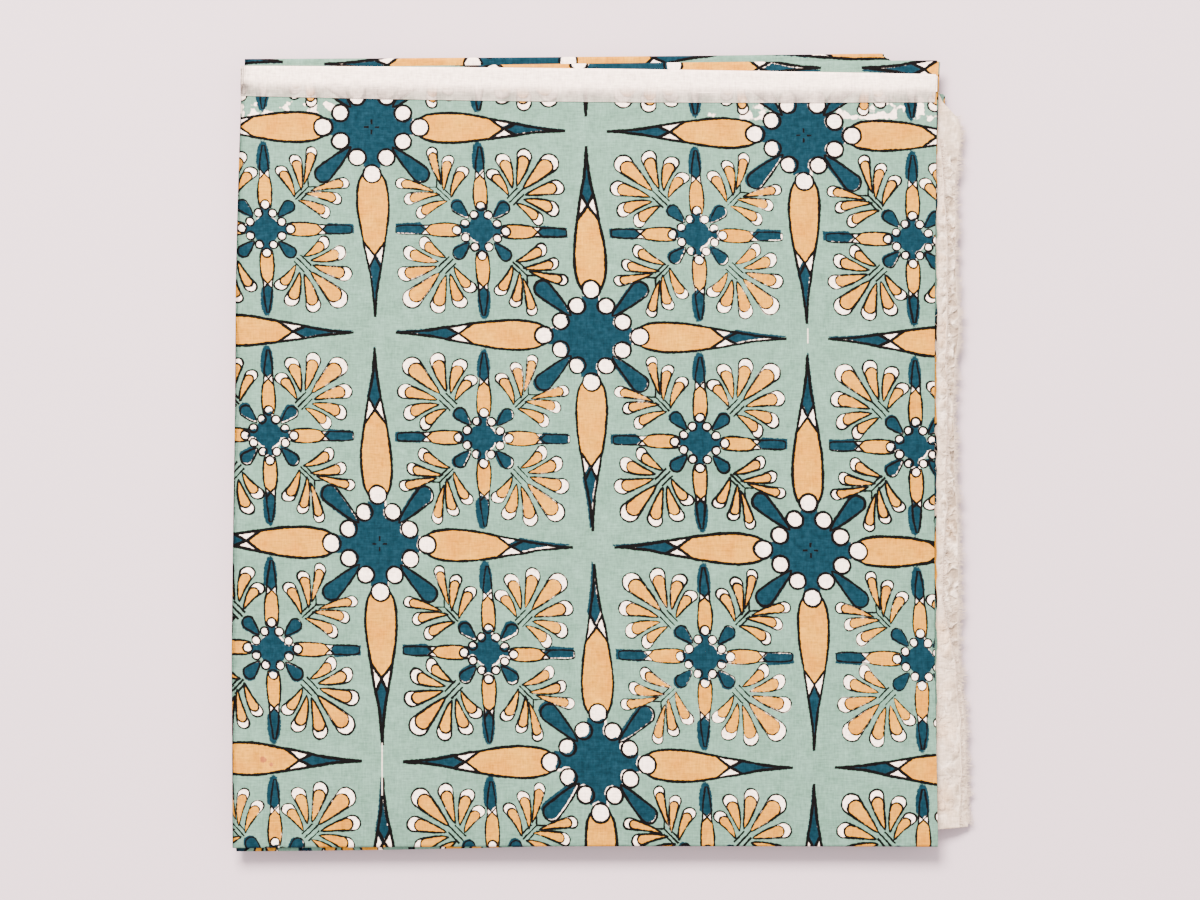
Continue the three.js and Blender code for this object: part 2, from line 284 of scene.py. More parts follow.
def add_side_fold(ply, share, lift_from, lift_to, steps, inset):
    """Points round a fold along the left or right edge: out is how far the fold's line lies from the edge."""
    middle = (lift_from + lift_to) / 2
    radius = (lift_to - lift_from) / 2
    outward = 1 if share > 0.5 else -1
    for step in range(1, steps):
        angle = math.pi * step / steps
        bulge = abs(radius) * math.sin(angle)
        columns.append(Column(ply, share, middle - radius * math.cos(angle), outward * (bulge - inset)))


def with_margin(count, margin_count):
    """Shares of the way across for a ply that ends in the margin, close together in the margin."""
    body = np.linspace(0, MARGIN_SHARE, count, endpoint=False)
    return np.concatenate([body, np.linspace(MARGIN_SHARE, 1, margin_count)])


print("the four plies lie within", round(2 * OUTER_PLY, 2), "mm")

# %% [markdown]
# The columns are close together where the cloth is seen, on the first ply and in the margin, and round the
# folds. They are far apart on the hidden plies.

# %% The columns from selvedge to selvedge
FIRST_PLY_COLUMNS = 93
FOURTH_PLY_COLUMNS = 40
HIDDEN_COLUMNS = 20
MARGIN_COLUMNS = 11

add_ply(3, with_margin(HIDDEN_COLUMNS, MARGIN_COLUMNS)[::-1], INNER_PLY)
add_side_fold(2, 0.0, INNER_PLY, -INNER_PLY, steps=5, inset=OUTER_PLY + INNER_FOLD_IN)
add_ply(2, np.linspace(0, 1, HIDDEN_COLUMNS), -INNER_PLY)
add_side_fold(1, 1.0, -INNER_PLY, -OUTER_PLY, steps=6, inset=0.0)
add_ply(1, np.linspace(1, 0, FIRST_PLY_COLUMNS), -OUTER_PLY)
add_side_fold(1, 0.0, -OUTER_PLY, OUTER_PLY, steps=8, inset=OUTER_PLY)
add_ply(4, with_margin(FOURTH_PLY_COLUMNS, MARGIN_COLUMNS), OUTER_PLY)
print(len(columns), "columns from selvedge to selvedge")

# %% [markdown]
# ## Laying the cloth
#
# Every column gets its own numbers first: where it lies, and how much of the pressed hollows it takes. The
# plies under the top one take less of them and spread them wider, as in a real stack. A smooth irregular
# ripple keeps the edges from being straight; it is a sum of three sine waves that never quite repeats.

# %% Numbers for the columns
HOLLOWS_TAKEN = {1: 1.0, 2: 1.0, 3: 0.75, 4: 0.5}     # by each ply of the top panel and the turned-over end
HOLLOWS_BELOW = 0.25
SPREAD_BELOW = 1.8

ply = np.array([column.ply for column in columns])
share = np.array([column.share for column in columns])
lift = np.array([column.lift for column in columns])
out = np.array([column.out for column in columns])
top_hollows = np.array([HOLLOWS_TAKEN[column.ply] for column in columns])
under_hollows = np.full(len(columns), HOLLOWS_BELOW)
wider = np.where(ply == 1, 1.0, SPREAD_BELOW)


def ripple(a, b, seed):
    """A smooth irregular number between about -1 and 1."""
    first = np.sin(a + seed)
    second = np.sin(0.63 * a + 1.7 * b + 2.1 * seed)
    third = np.sin(1.9 * b - 0.4 * a + seed)
    return (first + second + third) / 3


def waver(y, height, length, seed, other=0):
    """How far an edge is off its line: up to height, in waves of about six lengths."""
    return height * ripple(y / length, other, seed)


print("columns of the plies 1 to 4:", [int((ply == number).sum()) for number in (1, 2, 3, 4)])

# %% [markdown]
# Two layers carry the unprinted margin. Their folded plies end just inside the panel's edge, out of sight.
# Their third and fourth plies end in the two selvedges, which reach out to the right, each with its own
# waver.

# %% The margin's edges
MARGIN_CAP = 139.3            # the folded edge of the margin's layers lies here, under the panel's edge
CAP_OPENS = 6                 # at the far fold it comes out this much further
CAP_OPENS_OVER = 9
THIRD_PLY_IN = 0.9            # in all other layers the two selvedges lie just inside the fold
FOURTH_PLY_IN = 0.5
LOWER_MARGIN_IN = 0.9
SELVEDGES_APART = 0.4
EdgePlace = namedtuple("EdgePlace", "y x")
THIRD_PLY_EDGE = [
    EdgePlace(y=141, x=140.9),
    EdgePlace(y=123, x=143.0),
    EdgePlace(y=90, x=145.6),
    EdgePlace(y=45, x=145.8),
    EdgePlace(y=27, x=146.0),
    EdgePlace(y=-5, x=144.4),
    EdgePlace(y=-19, x=145.4),
    EdgePlace(y=-41, x=144.0),
    EdgePlace(y=-57, x=143.6),
    EdgePlace(y=-82, x=149.2),
    EdgePlace(y=-105, x=150.6),
    EdgePlace(y=-127, x=151.8),
    EdgePlace(y=-150, x=150.6),
]


def right_edge(layer, y):
    """Where each column's ply ends at the right."""
    edge = layer_edge(layer, y, "right")
    if layer not in MARGIN_LAYERS:
        return edge - np.where(ply == 3, THIRD_PLY_IN, np.where(ply == 4, FOURTH_PLY_IN, 0.0))
    far = FOLDS[layer] if FOLDS[layer].far else FOLDS[layer + 1]
    cap = MARGIN_CAP + CAP_OPENS * (1 - ease((far.middle - y) / CAP_OPENS_OVER))
    folded = np.minimum(edge, cap)
    from_near = THIRD_PLY_EDGE[::-1]
    third = np.interp(y, [point.y for point in from_near], [point.x for point in from_near])
    third = third + waver(y, height=0.6, length=9, seed=1.0)
    fourth = edge + waver(y, height=0.35, length=4.5, seed=0.4, other=layer)
    if layer == LOWER_MARGIN:
        fourth = fourth - LOWER_MARGIN_IN
        third = third + waver(y, height=1.2, length=14, seed=2.0, other=1)
    third = np.minimum(third, edge - SELVEDGES_APART)
    return np.where(ply == 3, third, np.where(ply == 4, fourth, folded))


print("the third ply's selvedge is given at", len(THIRD_PLY_EDGE), "places")


# %% [markdown]
# A row goes across all the columns at once. Most points lie a share of the way between the layer's two
# edges, and the points round a side fold lie a set distance from its edge.

# %% One row across the cloth
def lay_row(layer, t, start, end):
    """The X and Y of every column, at a share t of the way from one fold to the next."""
    y = start + (end - start) * t
    left = layer_edge(layer, y, "left") + waver(y, height=0.35, length=23, seed=0.3, other=layer)
    left = left + OUTER_PLY + np.where((ply == 2) | (ply == 3), INNER_FOLD_IN, 0.0)
    right = right_edge(layer, y)
    x = left + (right - left) * share
    round_fold = out != 0
    back_in = np.where(ply == 2, OUTER_PLY + INNER_FOLD_IN, OUTER_PLY)
    x = np.where(round_fold & (share < 0.5), left + out + back_in, x)
    x = np.where(round_fold & (share > 0.5), right + out, x)
    return x, y


# %% [markdown]
# Each layer is a run of rows between two folds. The rows are close together on the top panel, the
# turned-over end and the margin, which are seen, and far apart inside the stack. They leave room for the
# folds at both ends.

# %% The rows of a layer
ROWS = {FLAP: 16, TOP_PANEL: 103, UPPER_MARGIN: 99, LOWER_MARGIN: 49}
HIDDEN_ROWS = 25
FIRST_PLY_SHORT = 4.4         # the plies under the fourth end this far inside the turned-over edge
FOLD_RADIUS = (LAYER + GAP) / 2
FOLD_ROOM = LAYER / 2 + FOLD_RADIUS

lines_x = []
lines_y = []
lines_z = []
row_layer = []


def add_row(layer, x, y, z):
    row_layer.append(layer)
    lines_x.append(x)
    lines_y.append(y)
    lines_z.append(z)


def add_layer(layer, hollows):
    """The rows of one layer from fold to fold. Gives where the last one lies."""
    start_fold = FOLDS[layer]
    end_fold = FOLDS[layer + 1]
    first = fold_reach(start_fold, share)
    last = fold_reach(end_fold, share)
    if layer == FLAP:
        short = FIRST_PLY_SHORT + 0.5 * ripple(share * 40, 0, 3.0)
        first = first + np.where(ply == 4, 0.0, short)
    else:
        first = first + (-FOLD_ROOM if start_fold.far else FOLD_ROOM)
    if layer != LOWEST:
        last = last + (-FOLD_ROOM if end_fold.far else FOLD_ROOM)
    rows = ROWS.get(layer, HIDDEN_ROWS)
    for t in np.linspace(0, 1, rows):
        x, y = lay_row(layer, t, first, last)
        add_row(layer, x, y, layer_height(layer, x, y, hollows, wider))
    return x, last


# %% [markdown]
# A fold is half a turn of a few rows, from the end of one layer to the start of the next one below it. The
# turn is a sine outwards and a cosine down, which together make half a circle.

# %% The rows of a fold
FOLD_ROWS = 8


def add_fold(layer, x, y, hollows):
    """Half a turn of rows from the end of one layer to the start of the next."""
    upper = layer_height(layer, x, y, hollows, wider)
    lower = layer_height(layer + 1, x, y, hollows, wider)
    for step in range(1, FOLD_ROWS):
        angle = math.pi * step / FOLD_ROWS
        bulge = FOLD_RADIUS * math.sin(angle) * (1 if FOLDS[layer + 1].far else -1)
        add_row(layer + 0.5, x, y + bulge, upper + (lower - upper) * (1 - math.cos(angle)) / 2)


# %% [markdown]
# With these helpers the whole cloth is laid in one loop, from the turned-over end to the lowest layer.

# %% The rows of the whole cloth
for layer in range(LAYERS):
    hollows = top_hollows if layer <= TOP_PANEL else under_hollows
    end_x, end_y = add_layer(layer, hollows)
    if layer < LOWEST:
        add_fold(layer, end_x, end_y, hollows)

middle_x = np.array(lines_x)
middle_y = np.array(lines_y)
middle_z = np.array(lines_z)
row_layer = np.array(row_layer)
print(middle_x.shape[0], "rows from the turned-over edge to the lowest edge")

# %% [markdown]
# The rows so far lie in the middle of each layer. Every ply is moved off it at a right angle to the way the
# cloth runs, so plies stay apart round the folds too. Along the last millimetres of the turned-over end
# only the fourth ply is left, and it sinks onto the print below.

# %% The plies off the middle line
SINKS_OVER = 7.0              # over this last stretch the fourth ply sinks onto the print
SINKS_BY = 0.78
FLAP_SAG = 0.4                # the whole turned-over end slopes down a little, away from its fold
FLAP_SAG_OVER = 13.0

run_y = np.gradient(middle_y, axis=0)
run_z = np.gradient(middle_z, axis=0)
run_length = np.hypot(run_y, run_z)
run_y = run_y / run_length
run_z = run_z / run_length
on_flap = (row_layer == FLAP)[:, None]
past_edge = middle_y - fold_reach(FOLDS[FLAP], share)
sinking = 1 - ease(past_edge / SINKS_OVER)
sagging = 1 - ease(past_edge / FLAP_SAG_OVER)
lifts = np.tile(lift, (middle_x.shape[0], 1))
lifts = np.where(on_flap & (ply == 4), lifts - SINKS_BY * sinking, lifts)
lifts = lifts - FLAP_SAG * sagging * on_flap
cloth_x = middle_x
cloth_y = middle_y - run_z * lifts
cloth_z = middle_z + run_y * lifts
print("the cloth lies from", round(float(cloth_z.min()), 2), "to", round(float(cloth_z.max()), 2), "mm up")

# %% [markdown]
# The margin is loose gauze and crumples: small pleats run over it, slanting one way and the other, stronger
# towards its edge. Its far corner is a smooth turn, and towards the near side it calms down into long soft
# folds.

# %% The crumpled margin
SMOOTH_CORNER = 126           # above this the margin is a smooth turned corner
SMOOTH_END = -70              # below this it has only long soft folds
SMOOTH_END_BY = 0.55
NEAR_CORNER = 148
SMALL_PLEATS = 0.3
LARGE_PLEATS = 0.45
THIRD_PLY_UP = 0.25           # the upper margin's third ply curls up a little

margin_layers = (row_layer == UPPER_MARGIN) | (row_layer == LOWER_MARGIN)
in_margin = margin_layers[:, None] & (ply >= 3)
loose = ease((cloth_x - MARGIN_CAP - 1.0) / 5) * in_margin
loose = loose * ease((SMOOTH_CORNER - cloth_y) / 10)
loose = loose * (1 - SMOOTH_END_BY * ease((SMOOTH_END - cloth_y) / 20))
loose = loose * ease((cloth_y + NEAR_CORNER) / 6)
small_pleats = SMALL_PLEATS * ripple(cloth_y / 2.6 + cloth_x / 3.0, cloth_x / 2.2, 0.7)
large_pleats = LARGE_PLEATS * ripple(cloth_y / 5.3 - cloth_x / 5.0, ply * 1.3, 2.2)
curled_up = np.where(ply == 3, THIRD_PLY_UP, 0.0) * (row_layer == UPPER_MARGIN)[:, None]
cloth_z = cloth_z + loose * (small_pleats + large_pleats + curled_up)
print(int((loose > 0.5).sum()), "points lie on the loose part of the margin")

# %% [markdown]
# ## Places on the cloth
#
# The print has to know where each point lies on the flat cloth. How far along it lies is summed up from row
# to row, column by column, and counted from the middle of the top panel.

# %% How far along the cloth
steps = np.hypot(np.diff(middle_y, axis=0), np.diff(middle_z, axis=0))
travelled = np.concatenate([np.zeros((1, steps.shape[1])), np.cumsum(steps, axis=0)])
panel_rows = np.where(row_layer == TOP_PANEL)[0][::-1]
zero = np.array([
    np.interp(0.0, middle_y[panel_rows, column], travelled[panel_rows, column])
    for column in range(len(columns))
])
along = zero - travelled
print("the cloth is", round(float(travelled[-1].mean()) / 1000, 2), "m long")

# %% [markdown]
# How far across it lies turns round at every lengthwise fold, so the plies are laid out one beside the
# other like an opened leaflet. The block wasn't set down quite in line with the fold, so the print on the
# fourth ply is moved a little.

# %% How far across the cloth
CLOTH_LEFT = -141.0
CLOTH_RIGHT = 139.9
PrintShift = namedtuple("PrintShift", "along across_by along_by")
FOURTH_PLY_SHIFTS = [
    PrintShift(along=-1100, across_by=-66.2, along_by=-29.5),
    PrintShift(along=-470, across_by=-35.7, along_by=16.9),
]
PANEL_REACH = 165
ROW_DRIFT = 1.6e-4            # the rows of the print stand a little wider apart towards the near side
ROW_DRIFT_MIDDLE = 5
ROW_DRIFT_OFFSET = 0.8

shift_at = [shift.along for shift in FOURTH_PLY_SHIFTS]
across_by = np.interp(along, shift_at, [shift.across_by for shift in FOURTH_PLY_SHIFTS])
along_by = np.interp(along, shift_at, [shift.along_by for shift in FOURTH_PLY_SHIFTS])
across = np.where(ply == 1, cloth_x, 0)
across = np.where(ply == 2, 2 * CLOTH_RIGHT - cloth_x, across)
across = np.where(ply == 3, cloth_x + 2 * (CLOTH_RIGHT - CLOTH_LEFT), across)
across = np.where(ply == 4, 2 * CLOTH_LEFT - cloth_x + across_by, across)
on_panel = np.clip(along, -PANEL_REACH, PANEL_REACH)
row_drift = ROW_DRIFT * (on_panel - ROW_DRIFT_MIDDLE) ** 2 - ROW_DRIFT_OFFSET
place_along = along + np.where(ply == 4, along_by, 0)
place_along = place_along + np.where(ply == 1, row_drift, 0)
print("the places across run from", round(float(across.min())), "to", round(float(across.max())), "mm")

# %% [markdown]
# The turned-over end shows the cloth's other face. Its places are mirrored at the top fold, so each point
# has the place of the print that lies right under it and can shine through.

# %% The turned-over end
top_fold_rows = np.where(row_layer == FLAP + 0.5)[0]
turn = along[top_fold_rows[len(top_fold_rows) // 2]]
before_turn = along > turn
across = np.where(before_turn & (ply == 4), cloth_x, across)
place_along = np.where(before_turn, 2 * turn - along, place_along)
print("the cloth turns over", round(float(turn.mean()), 1), "mm along from the middle of the top panel")

# %% [markdown]
# More numbers go with the places. `printed` is how many millimetres a point lies inside the printed area,
# and `ink` is how strongly the print shows: on the back of the cloth it doesn't, and through the single ply
# of the turned-over edge the print below shines weakly. `thin` is where a single ply lies right on the
# floor or on the print, and `gauze` is where the cloth is the margin's open gauze. The amount of crumple,
# `loose`, is kept as well.

# %% Where the print shows
PRINT_ENDS = 150.8            # along the cloth, towards the turned-over end
MARGIN_PRINT = 141.2          # across the margin's layers
GAUZE_STARTS_OVER = 0.8
THIN_STARTS_OVER = 2.0
THIN_STARTS_OUT = 0.5         # outside the third ply's selvedge, which lies under the fourth
GHOST = 0.3                   # how much print shines through the turned-over edge
WELL_INSIDE = 5.0

near_margin = (row_layer >= UPPER_MARGIN - 0.5) & (row_layer <= LOWER_MARGIN + 0.5)
in_margins = near_margin[:, None] & (ply >= 3)
single = on_flap & (ply == 4)
printed = PRINT_ENDS - along
printed = np.where(in_margins, np.minimum(printed, MARGIN_PRINT - cloth_x), printed)
printed = np.where(single, WELL_INSIDE, printed)
ink = np.where(before_turn, 0.0, 1.0)
ink = np.where(single, GHOST * sinking, ink)
third_edge = cloth_x[:, :1]
over_the_floor = ease((cloth_x - third_edge - THIN_STARTS_OUT) / THIN_STARTS_OVER) * in_margin * (ply == 4)
thin = np.where(single, sinking, over_the_floor)
gauze = ease((cloth_x - MARGIN_CAP) / GAUZE_STARTS_OVER) * in_margins
print(round(float((printed > 0).mean()) * 100), "percent of the points are inside the print")

# %% [markdown]
# ## The cloth's mesh
#
# A grid of points becomes a mesh with a quad between each four neighbours. Writing whole arrays into the
# mesh is much quicker than adding faces one by one. The table of folds starts from the middle of the top
# panel, so the points are moved to where the solid cloth lies.

# %% A mesh from a grid of points
SOLID_LEFT = -142.0           # the solid cloth's outermost left and far places, in the table's millimetres
SOLID_FAR = 162.3
shift_x = low_corner.x / MM - SOLID_LEFT
shift_y = high_corner.y / MM - SOLID_FAR


def grid_mesh(name, x, y, z):
    """A sheet from rows and columns of points, given in the fold table's millimetres."""
    mesh = bpy.data.meshes.new(name)
    points = np.stack([x + shift_x, y + shift_y, z], axis=-1).reshape(-1, 3) * MM
    corner = np.arange(x.size).reshape(x.shape)
    corners = [corner[:-1, :-1], corner[1:, :-1], corner[1:, 1:], corner[:-1, 1:]]
    quads = np.stack(corners, axis=-1).reshape(-1, 4)
    mesh.vertices.add(len(points))
    mesh.vertices.foreach_set("co", points.astype(np.float32).ravel())
    mesh.loops.add(quads.size)
    mesh.loops.foreach_set("vertex_index", quads.astype(np.int32).ravel())
    mesh.polygons.add(len(quads))
    mesh.polygons.foreach_set("loop_start", np.arange(0, quads.size, 4, dtype=np.int32))
    mesh.update(calc_edges=True)
    mesh.shade_smooth()
    return mesh


print("the fold table is moved by", round(shift_x, 2), "and", round(shift_y, 2), "mm")


# %% [markdown]
# The numbers for the print go with the points as attributes, and the shader can read them everywhere on the
# faces.

# %% The cloth's mesh
def keep_number(mesh, name, values):
    attribute = mesh.attributes.new(name, "FLOAT", "POINT")
    attribute.data.foreach_set("value", values.astype(np.float32).ravel())


cloth_mesh = grid_mesh("printed_cloth", cloth_x, cloth_y, cloth_z)
places = cloth_mesh.attributes.new("place", "FLOAT_VECTOR", "POINT")
flat_places = np.stack([across, place_along, np.zeros_like(across)], axis=-1)
places.data.foreach_set("vector", flat_places.astype(np.float32).ravel())
keep_number(cloth_mesh, "printed", printed)
keep_number(cloth_mesh, "ink", ink)
keep_number(cloth_mesh, "thin", thin)
keep_number(cloth_mesh, "gauze", gauze)
keep_number(cloth_mesh, "loose", loose)
cloth = bpy.data.objects.new("printed_cloth", cloth_mesh)
bpy.context.scene.collection.objects.link(cloth)
area = sum(polygon.area for polygon in cloth_mesh.polygons)
print("the sheet has", len(cloth_mesh.polygons), "faces and", round(area, 2), "square metres")

# %% [markdown]
# ## Shapes as numbers
#
# A block print is flat shapes with a carved edge, so each shape can be a number at every point of the
# cloth: how far the point is from the shape's edge, less than zero inside. Circles, drops and blades are
# then a few sums each, they stay sharp at any distance, and their edges can be roughened like a real print.
# The helper below lets the sums be written as sums; each one becomes a Math node in the cloth's material.

# %% A helper for sums of nodes
paint = bpy.data.materials.new("block printed cotton")
paint.use_nodes = True
tree = paint.node_tree
tree.nodes.clear()


def feed(socket, value):
    """Links a field to a socket, or sets the socket to a plain value."""
    if isinstance(value, Field):
        tree.links.new(value.socket, socket)
    else:
        socket.default_value = value


def math_node(operation, *values):
    node = tree.nodes.new("ShaderNodeMath")
    node.operation = operation
    for socket, value in zip(node.inputs, values):
        feed(socket, value)
    return Field(node.outputs[0])


def vector_node(operation, *values, output=0):
    node = tree.nodes.new("ShaderNodeVectorMath")
    node.operation = operation
    for socket, value in zip(node.inputs, values):
        feed(socket, value)
    return Field(node.outputs[output])


class Field:
    """A number, vector or colour that the shader works out at every point of the cloth."""

    def __init__(self, socket):
        self.socket = socket

    def __add__(self, other):
        return math_node("ADD", self, other)

    __radd__ = __add__

    def __sub__(self, other):
        return math_node("SUBTRACT", self, other)

    def __rsub__(self, other):
        return math_node("SUBTRACT", other, self)

    def __mul__(self, other):
        return math_node("MULTIPLY", self, other)

    __rmul__ = __mul__

    def __abs__(self):
        return math_node("ABSOLUTE", self)


# %% [markdown]
# A few more helpers work on fields: the smaller or larger of several distances joins or crosses shapes, and
# a pair of numbers makes a place that vector nodes can measure from.

# %% Helpers for several fields
def least(*fields):
    result = fields[0]
    for field in fields[1:]:
        result = math_node("MINIMUM", result, field)
    return result


def most(*fields):
    result = fields[0]
    for field in fields[1:]:
        result = math_node("MAXIMUM", result, field)
    return result


def pair(x, y):
    node = tree.nodes.new("ShaderNodeCombineXYZ")
    feed(node.inputs[0], x)
    feed(node.inputs[1], y)
    return Field(node.outputs[0])


def parts(vector):
    node = tree.nodes.new("ShaderNodeSeparateXYZ")
    feed(node.inputs[0], vector)
    return Field(node.outputs[0]), Field(node.outputs[1])


# %% [markdown]
# The last helpers are whole nodes: a soft step, which turns a distance into an inked or a free place, a
# noise for everything irregular, a number kept with the mesh, and a mix of two colours.

# %% Helpers for single nodes
NOISE_REACH = 2.3         # stretches the node's 0 to 1, which seldom goes near its ends


def between(value, low, high, low_gives=0.0, high_gives=1.0):
    """A soft step from low_gives to high_gives while the value goes from low to high."""
    node = tree.nodes.new("ShaderNodeMapRange")
    node.interpolation_type = "SMOOTHSTEP"
    feed(node.inputs["Value"], value)
    feed(node.inputs["From Min"], low)
    feed(node.inputs["From Max"], high)
    feed(node.inputs["To Min"], low_gives)
    feed(node.inputs["To Max"], high_gives)
    return Field(node.outputs["Result"])


def inked(distance, softness):
    """1 inside a shape, 0 outside it, with a soft edge."""
    return between(distance, -softness, softness, 1.0, 0.0)


def noise(vector, size, seed, detail=1.0):
    """An irregular number from about -1 to 1, with features as big as size, in millimetres."""
    node = tree.nodes.new("ShaderNodeTexNoise")
    node.noise_dimensions = "2D"
    feed(node.inputs["Vector"], vector_node("ADD", vector, (seed * 97.0, seed * 61.0, 0.0)))
    node.inputs["Scale"].default_value = 1 / size
    node.inputs["Detail"].default_value = detail
    return (Field(node.outputs["Fac"]) - 0.5) * NOISE_REACH


def attribute(name, output):
    node = tree.nodes.new("ShaderNodeAttribute")
    node.attribute_name = name
    return Field(node.outputs[output])


def mixed(factor, one, other):
    """A colour between two: all of one where the factor is 0, all of the other where it is 1."""
    node = tree.nodes.new("ShaderNodeMix")
    node.data_type = "RGBA"
    feed(node.inputs["Factor"], factor)
    for socket in node.inputs:
        if socket.type == "RGBA":
            feed(socket, one if socket.name == "A" else other)
    return Field(next(s for s in node.outputs if s.type == "RGBA"))


# %% [markdown]
# ## The block's motifs
#
# The pattern is an old and common kind: big eight-rayed stars with beads round their hubs, small flowers
# between them, and fans of petals. Stars and flowers stand in rows like the squares of a chessboard, so
# everything can be worked out in one small corner that is mirrored into the whole repeat. The sizes below
# are in millimetres and were judged from the photograph.

# %% Circles, blades and drops
Dot = namedtuple("Dot", "x y size")
Slant = namedtuple("Slant", "along across")
Width = namedtuple("Width", "at half")
Petal = namedtuple("Petal", "x0 y0 x1 y1 size bow")
WIDEST_BLADE = 10.0
INNER_DROP = 0.8


def circle(point, dot):
    """How far a point is outside a dot."""
    return vector_node("DISTANCE", point, (dot.x, dot.y, 0), output=1) - dot.size


def blade_half_width(a, longest, widths):
    """Half the width of a long pointed shape at each distance from its root."""
    node = tree.nodes.new("ShaderNodeFloatCurve")
    feed(node.inputs["Value"], a * (1 / longest))
    curve = node.mapping.curves[0]
    node.mapping.use_clip = False
    curve.points[0].location = (widths[0].at / longest, widths[0].half / WIDEST_BLADE)
    curve.points[1].location = (widths[-1].at / longest, widths[-1].half / WIDEST_BLADE)
    for step in widths[1:-1]:
        curve.points.new(step.at / longest, step.half / WIDEST_BLADE)
    node.mapping.update()
    return Field(node.outputs["Value"]) * WIDEST_BLADE


def teardrop(here, t, long, size, shape):
    """A drop along the first direction of here, which t repeats, from a pointed root to a round end."""
    held = least(most(t, 0.0), long)
    swell = math_node("POWER", held * (1 / long), shape)
    return vector_node("DISTANCE", here, pair(held, 0.0), output=1) - swell * size


def drop(point, petal, shape, crescent=None):
    """A drop from its root to the middle of its end. With a crescent, also the smaller drop inside it."""
    long = math.hypot(petal.x1 - petal.x0, petal.y1 - petal.y0)
    heading = ((petal.x1 - petal.x0) / long, (petal.y1 - petal.y0) / long, 0)
    sideways = (-heading[1], heading[0], 0)
    from_root = vector_node("SUBTRACT", point, (petal.x0, petal.y0, 0))
    t = vector_node("DOT_PRODUCT", from_root, heading, output=1)
    s = vector_node("DOT_PRODUCT", from_root, sideways, output=1)
    if petal.bow:
        s = s + (t * (long - t)) * (-4 * petal.bow / long ** 2)
    here = pair(t, s)
    whole = teardrop(here, t, long, petal.size, shape)
    if crescent is None:
        return whole
    return whole, teardrop(here, t, long - crescent, petal.size * INNER_DROP, shape)


# %% [markdown]
# The star has four long spears, each peach with a teal point, four teal petals between them, and a teal hub
# with white beads round it. Only one eighth of it is drawn: `a` runs along the nearest spear and `b` away
# from it, and the mirrors do the rest. Every shape is given for each block that prints it.

# %% Sizes of the star
STAR_HUB = Dot(x=0, y=0, size=12.6)
STAR_FRONT_BEAD = Dot(x=19.2, y=0, size=3.6)
STAR_SIDE_BEAD = Dot(x=12.4, y=5.8, size=3.3)
STAR_PETAL = Petal(x0=8.4, y0=8.4, x1=19.2, y1=19.2, size=3.5, bow=0.0)
ROUND_PETAL = 0.6             # the lower this is, the sooner a petal gets wide
LOBE_LONG = 16.6              # the hub reaches out this far between the beads
LOBE_HALF = 3.2
SPEAR = [
    Width(at=18.0, half=2.6),
    Width(at=20.0, half=4.2),
    Width(at=24.0, half=5.6),
    Width(at=30.0, half=6.15),
    Width(at=36.0, half=5.9),
    Width(at=43.6, half=4.9),
    Width(at=47.2, half=4.3),
    Width(at=58.4, half=2.4),
    Width(at=66.0, half=1.05),
    Width(at=77.6, half=0.0),
]
SPEAR_STARTS = 18.2
SPEAR_ENDS = 77.6
SPEAR_LONG = 80.0
SPEAR_CROSSING = 53.2         # two lines cross here between the peach and the teal
CROSSING_HALF = 4.2
BLUNT_SLANT = Slant(along=0.591, across=0.806)
SHARP_SLANT = Slant(along=-0.447, across=0.894)
DASH_AT = 2.1                 # the broken cross: short dashes from the hub's middle outwards
DASH_HALF_LONG = 0.9
DASH_HALF_WIDE = 0.34
OUT_OF_SIGHT = 9
STAR_LINE = 1.2
BEAD_LINE = 1.0
print("a star is", 2 * SPEAR_ENDS, "mm from point to point")


# %% The star
def star(a, b, marked):
    """A star around its middle: a along the nearest spear, b across it. Marked ones have a broken cross."""
    point = pair(a, b)
    dashes = most(abs(a - DASH_AT) - DASH_HALF_LONG, b - DASH_HALF_WIDE) + (1 - marked) * OUT_OF_SIGHT
    beads = least(circle(point, STAR_FRONT_BEAD), circle(point, STAR_SIDE_BEAD))
    petal = drop(point, STAR_PETAL, ROUND_PETAL)
    lobe = most(a - LOBE_LONG, b - LOBE_HALF)
    hub = most(least(circle(point, STAR_HUB), lobe), 0 - beads)
    spear = b - blade_half_width(a, SPEAR_LONG, SPEAR)
    spear = most(spear, SPEAR_STARTS - a, a - SPEAR_ENDS)
    blunt = (a - SPEAR_CROSSING) * BLUNT_SLANT.along + b * BLUNT_SLANT.across
    sharp = (a - SPEAR_CROSSING) * SHARP_SLANT.along + b * SHARP_SLANT.across
    crossing = most(least(abs(blunt), abs(sharp)), spear, b - CROSSING_HALF)
    spear_lines = most(least(abs(spear), crossing), 0 - beads) - STAR_LINE / 2
    bead_lines = least(abs(beads), abs(petal)) - BEAD_LINE / 2
    return {
        "lines": least(spear_lines, bead_lines, dashes),
        "whole": least(spear, beads, petal, hub),
        "peach": most(spear, blunt, 0 - beads),
        "teal": least(most(spear, sharp), petal, hub),
    }


# %% [markdown]
# The small flower is built the same way, with arms for spears. Its upright arms narrow to a point, and the
# arms to its sides are cut off blunt.

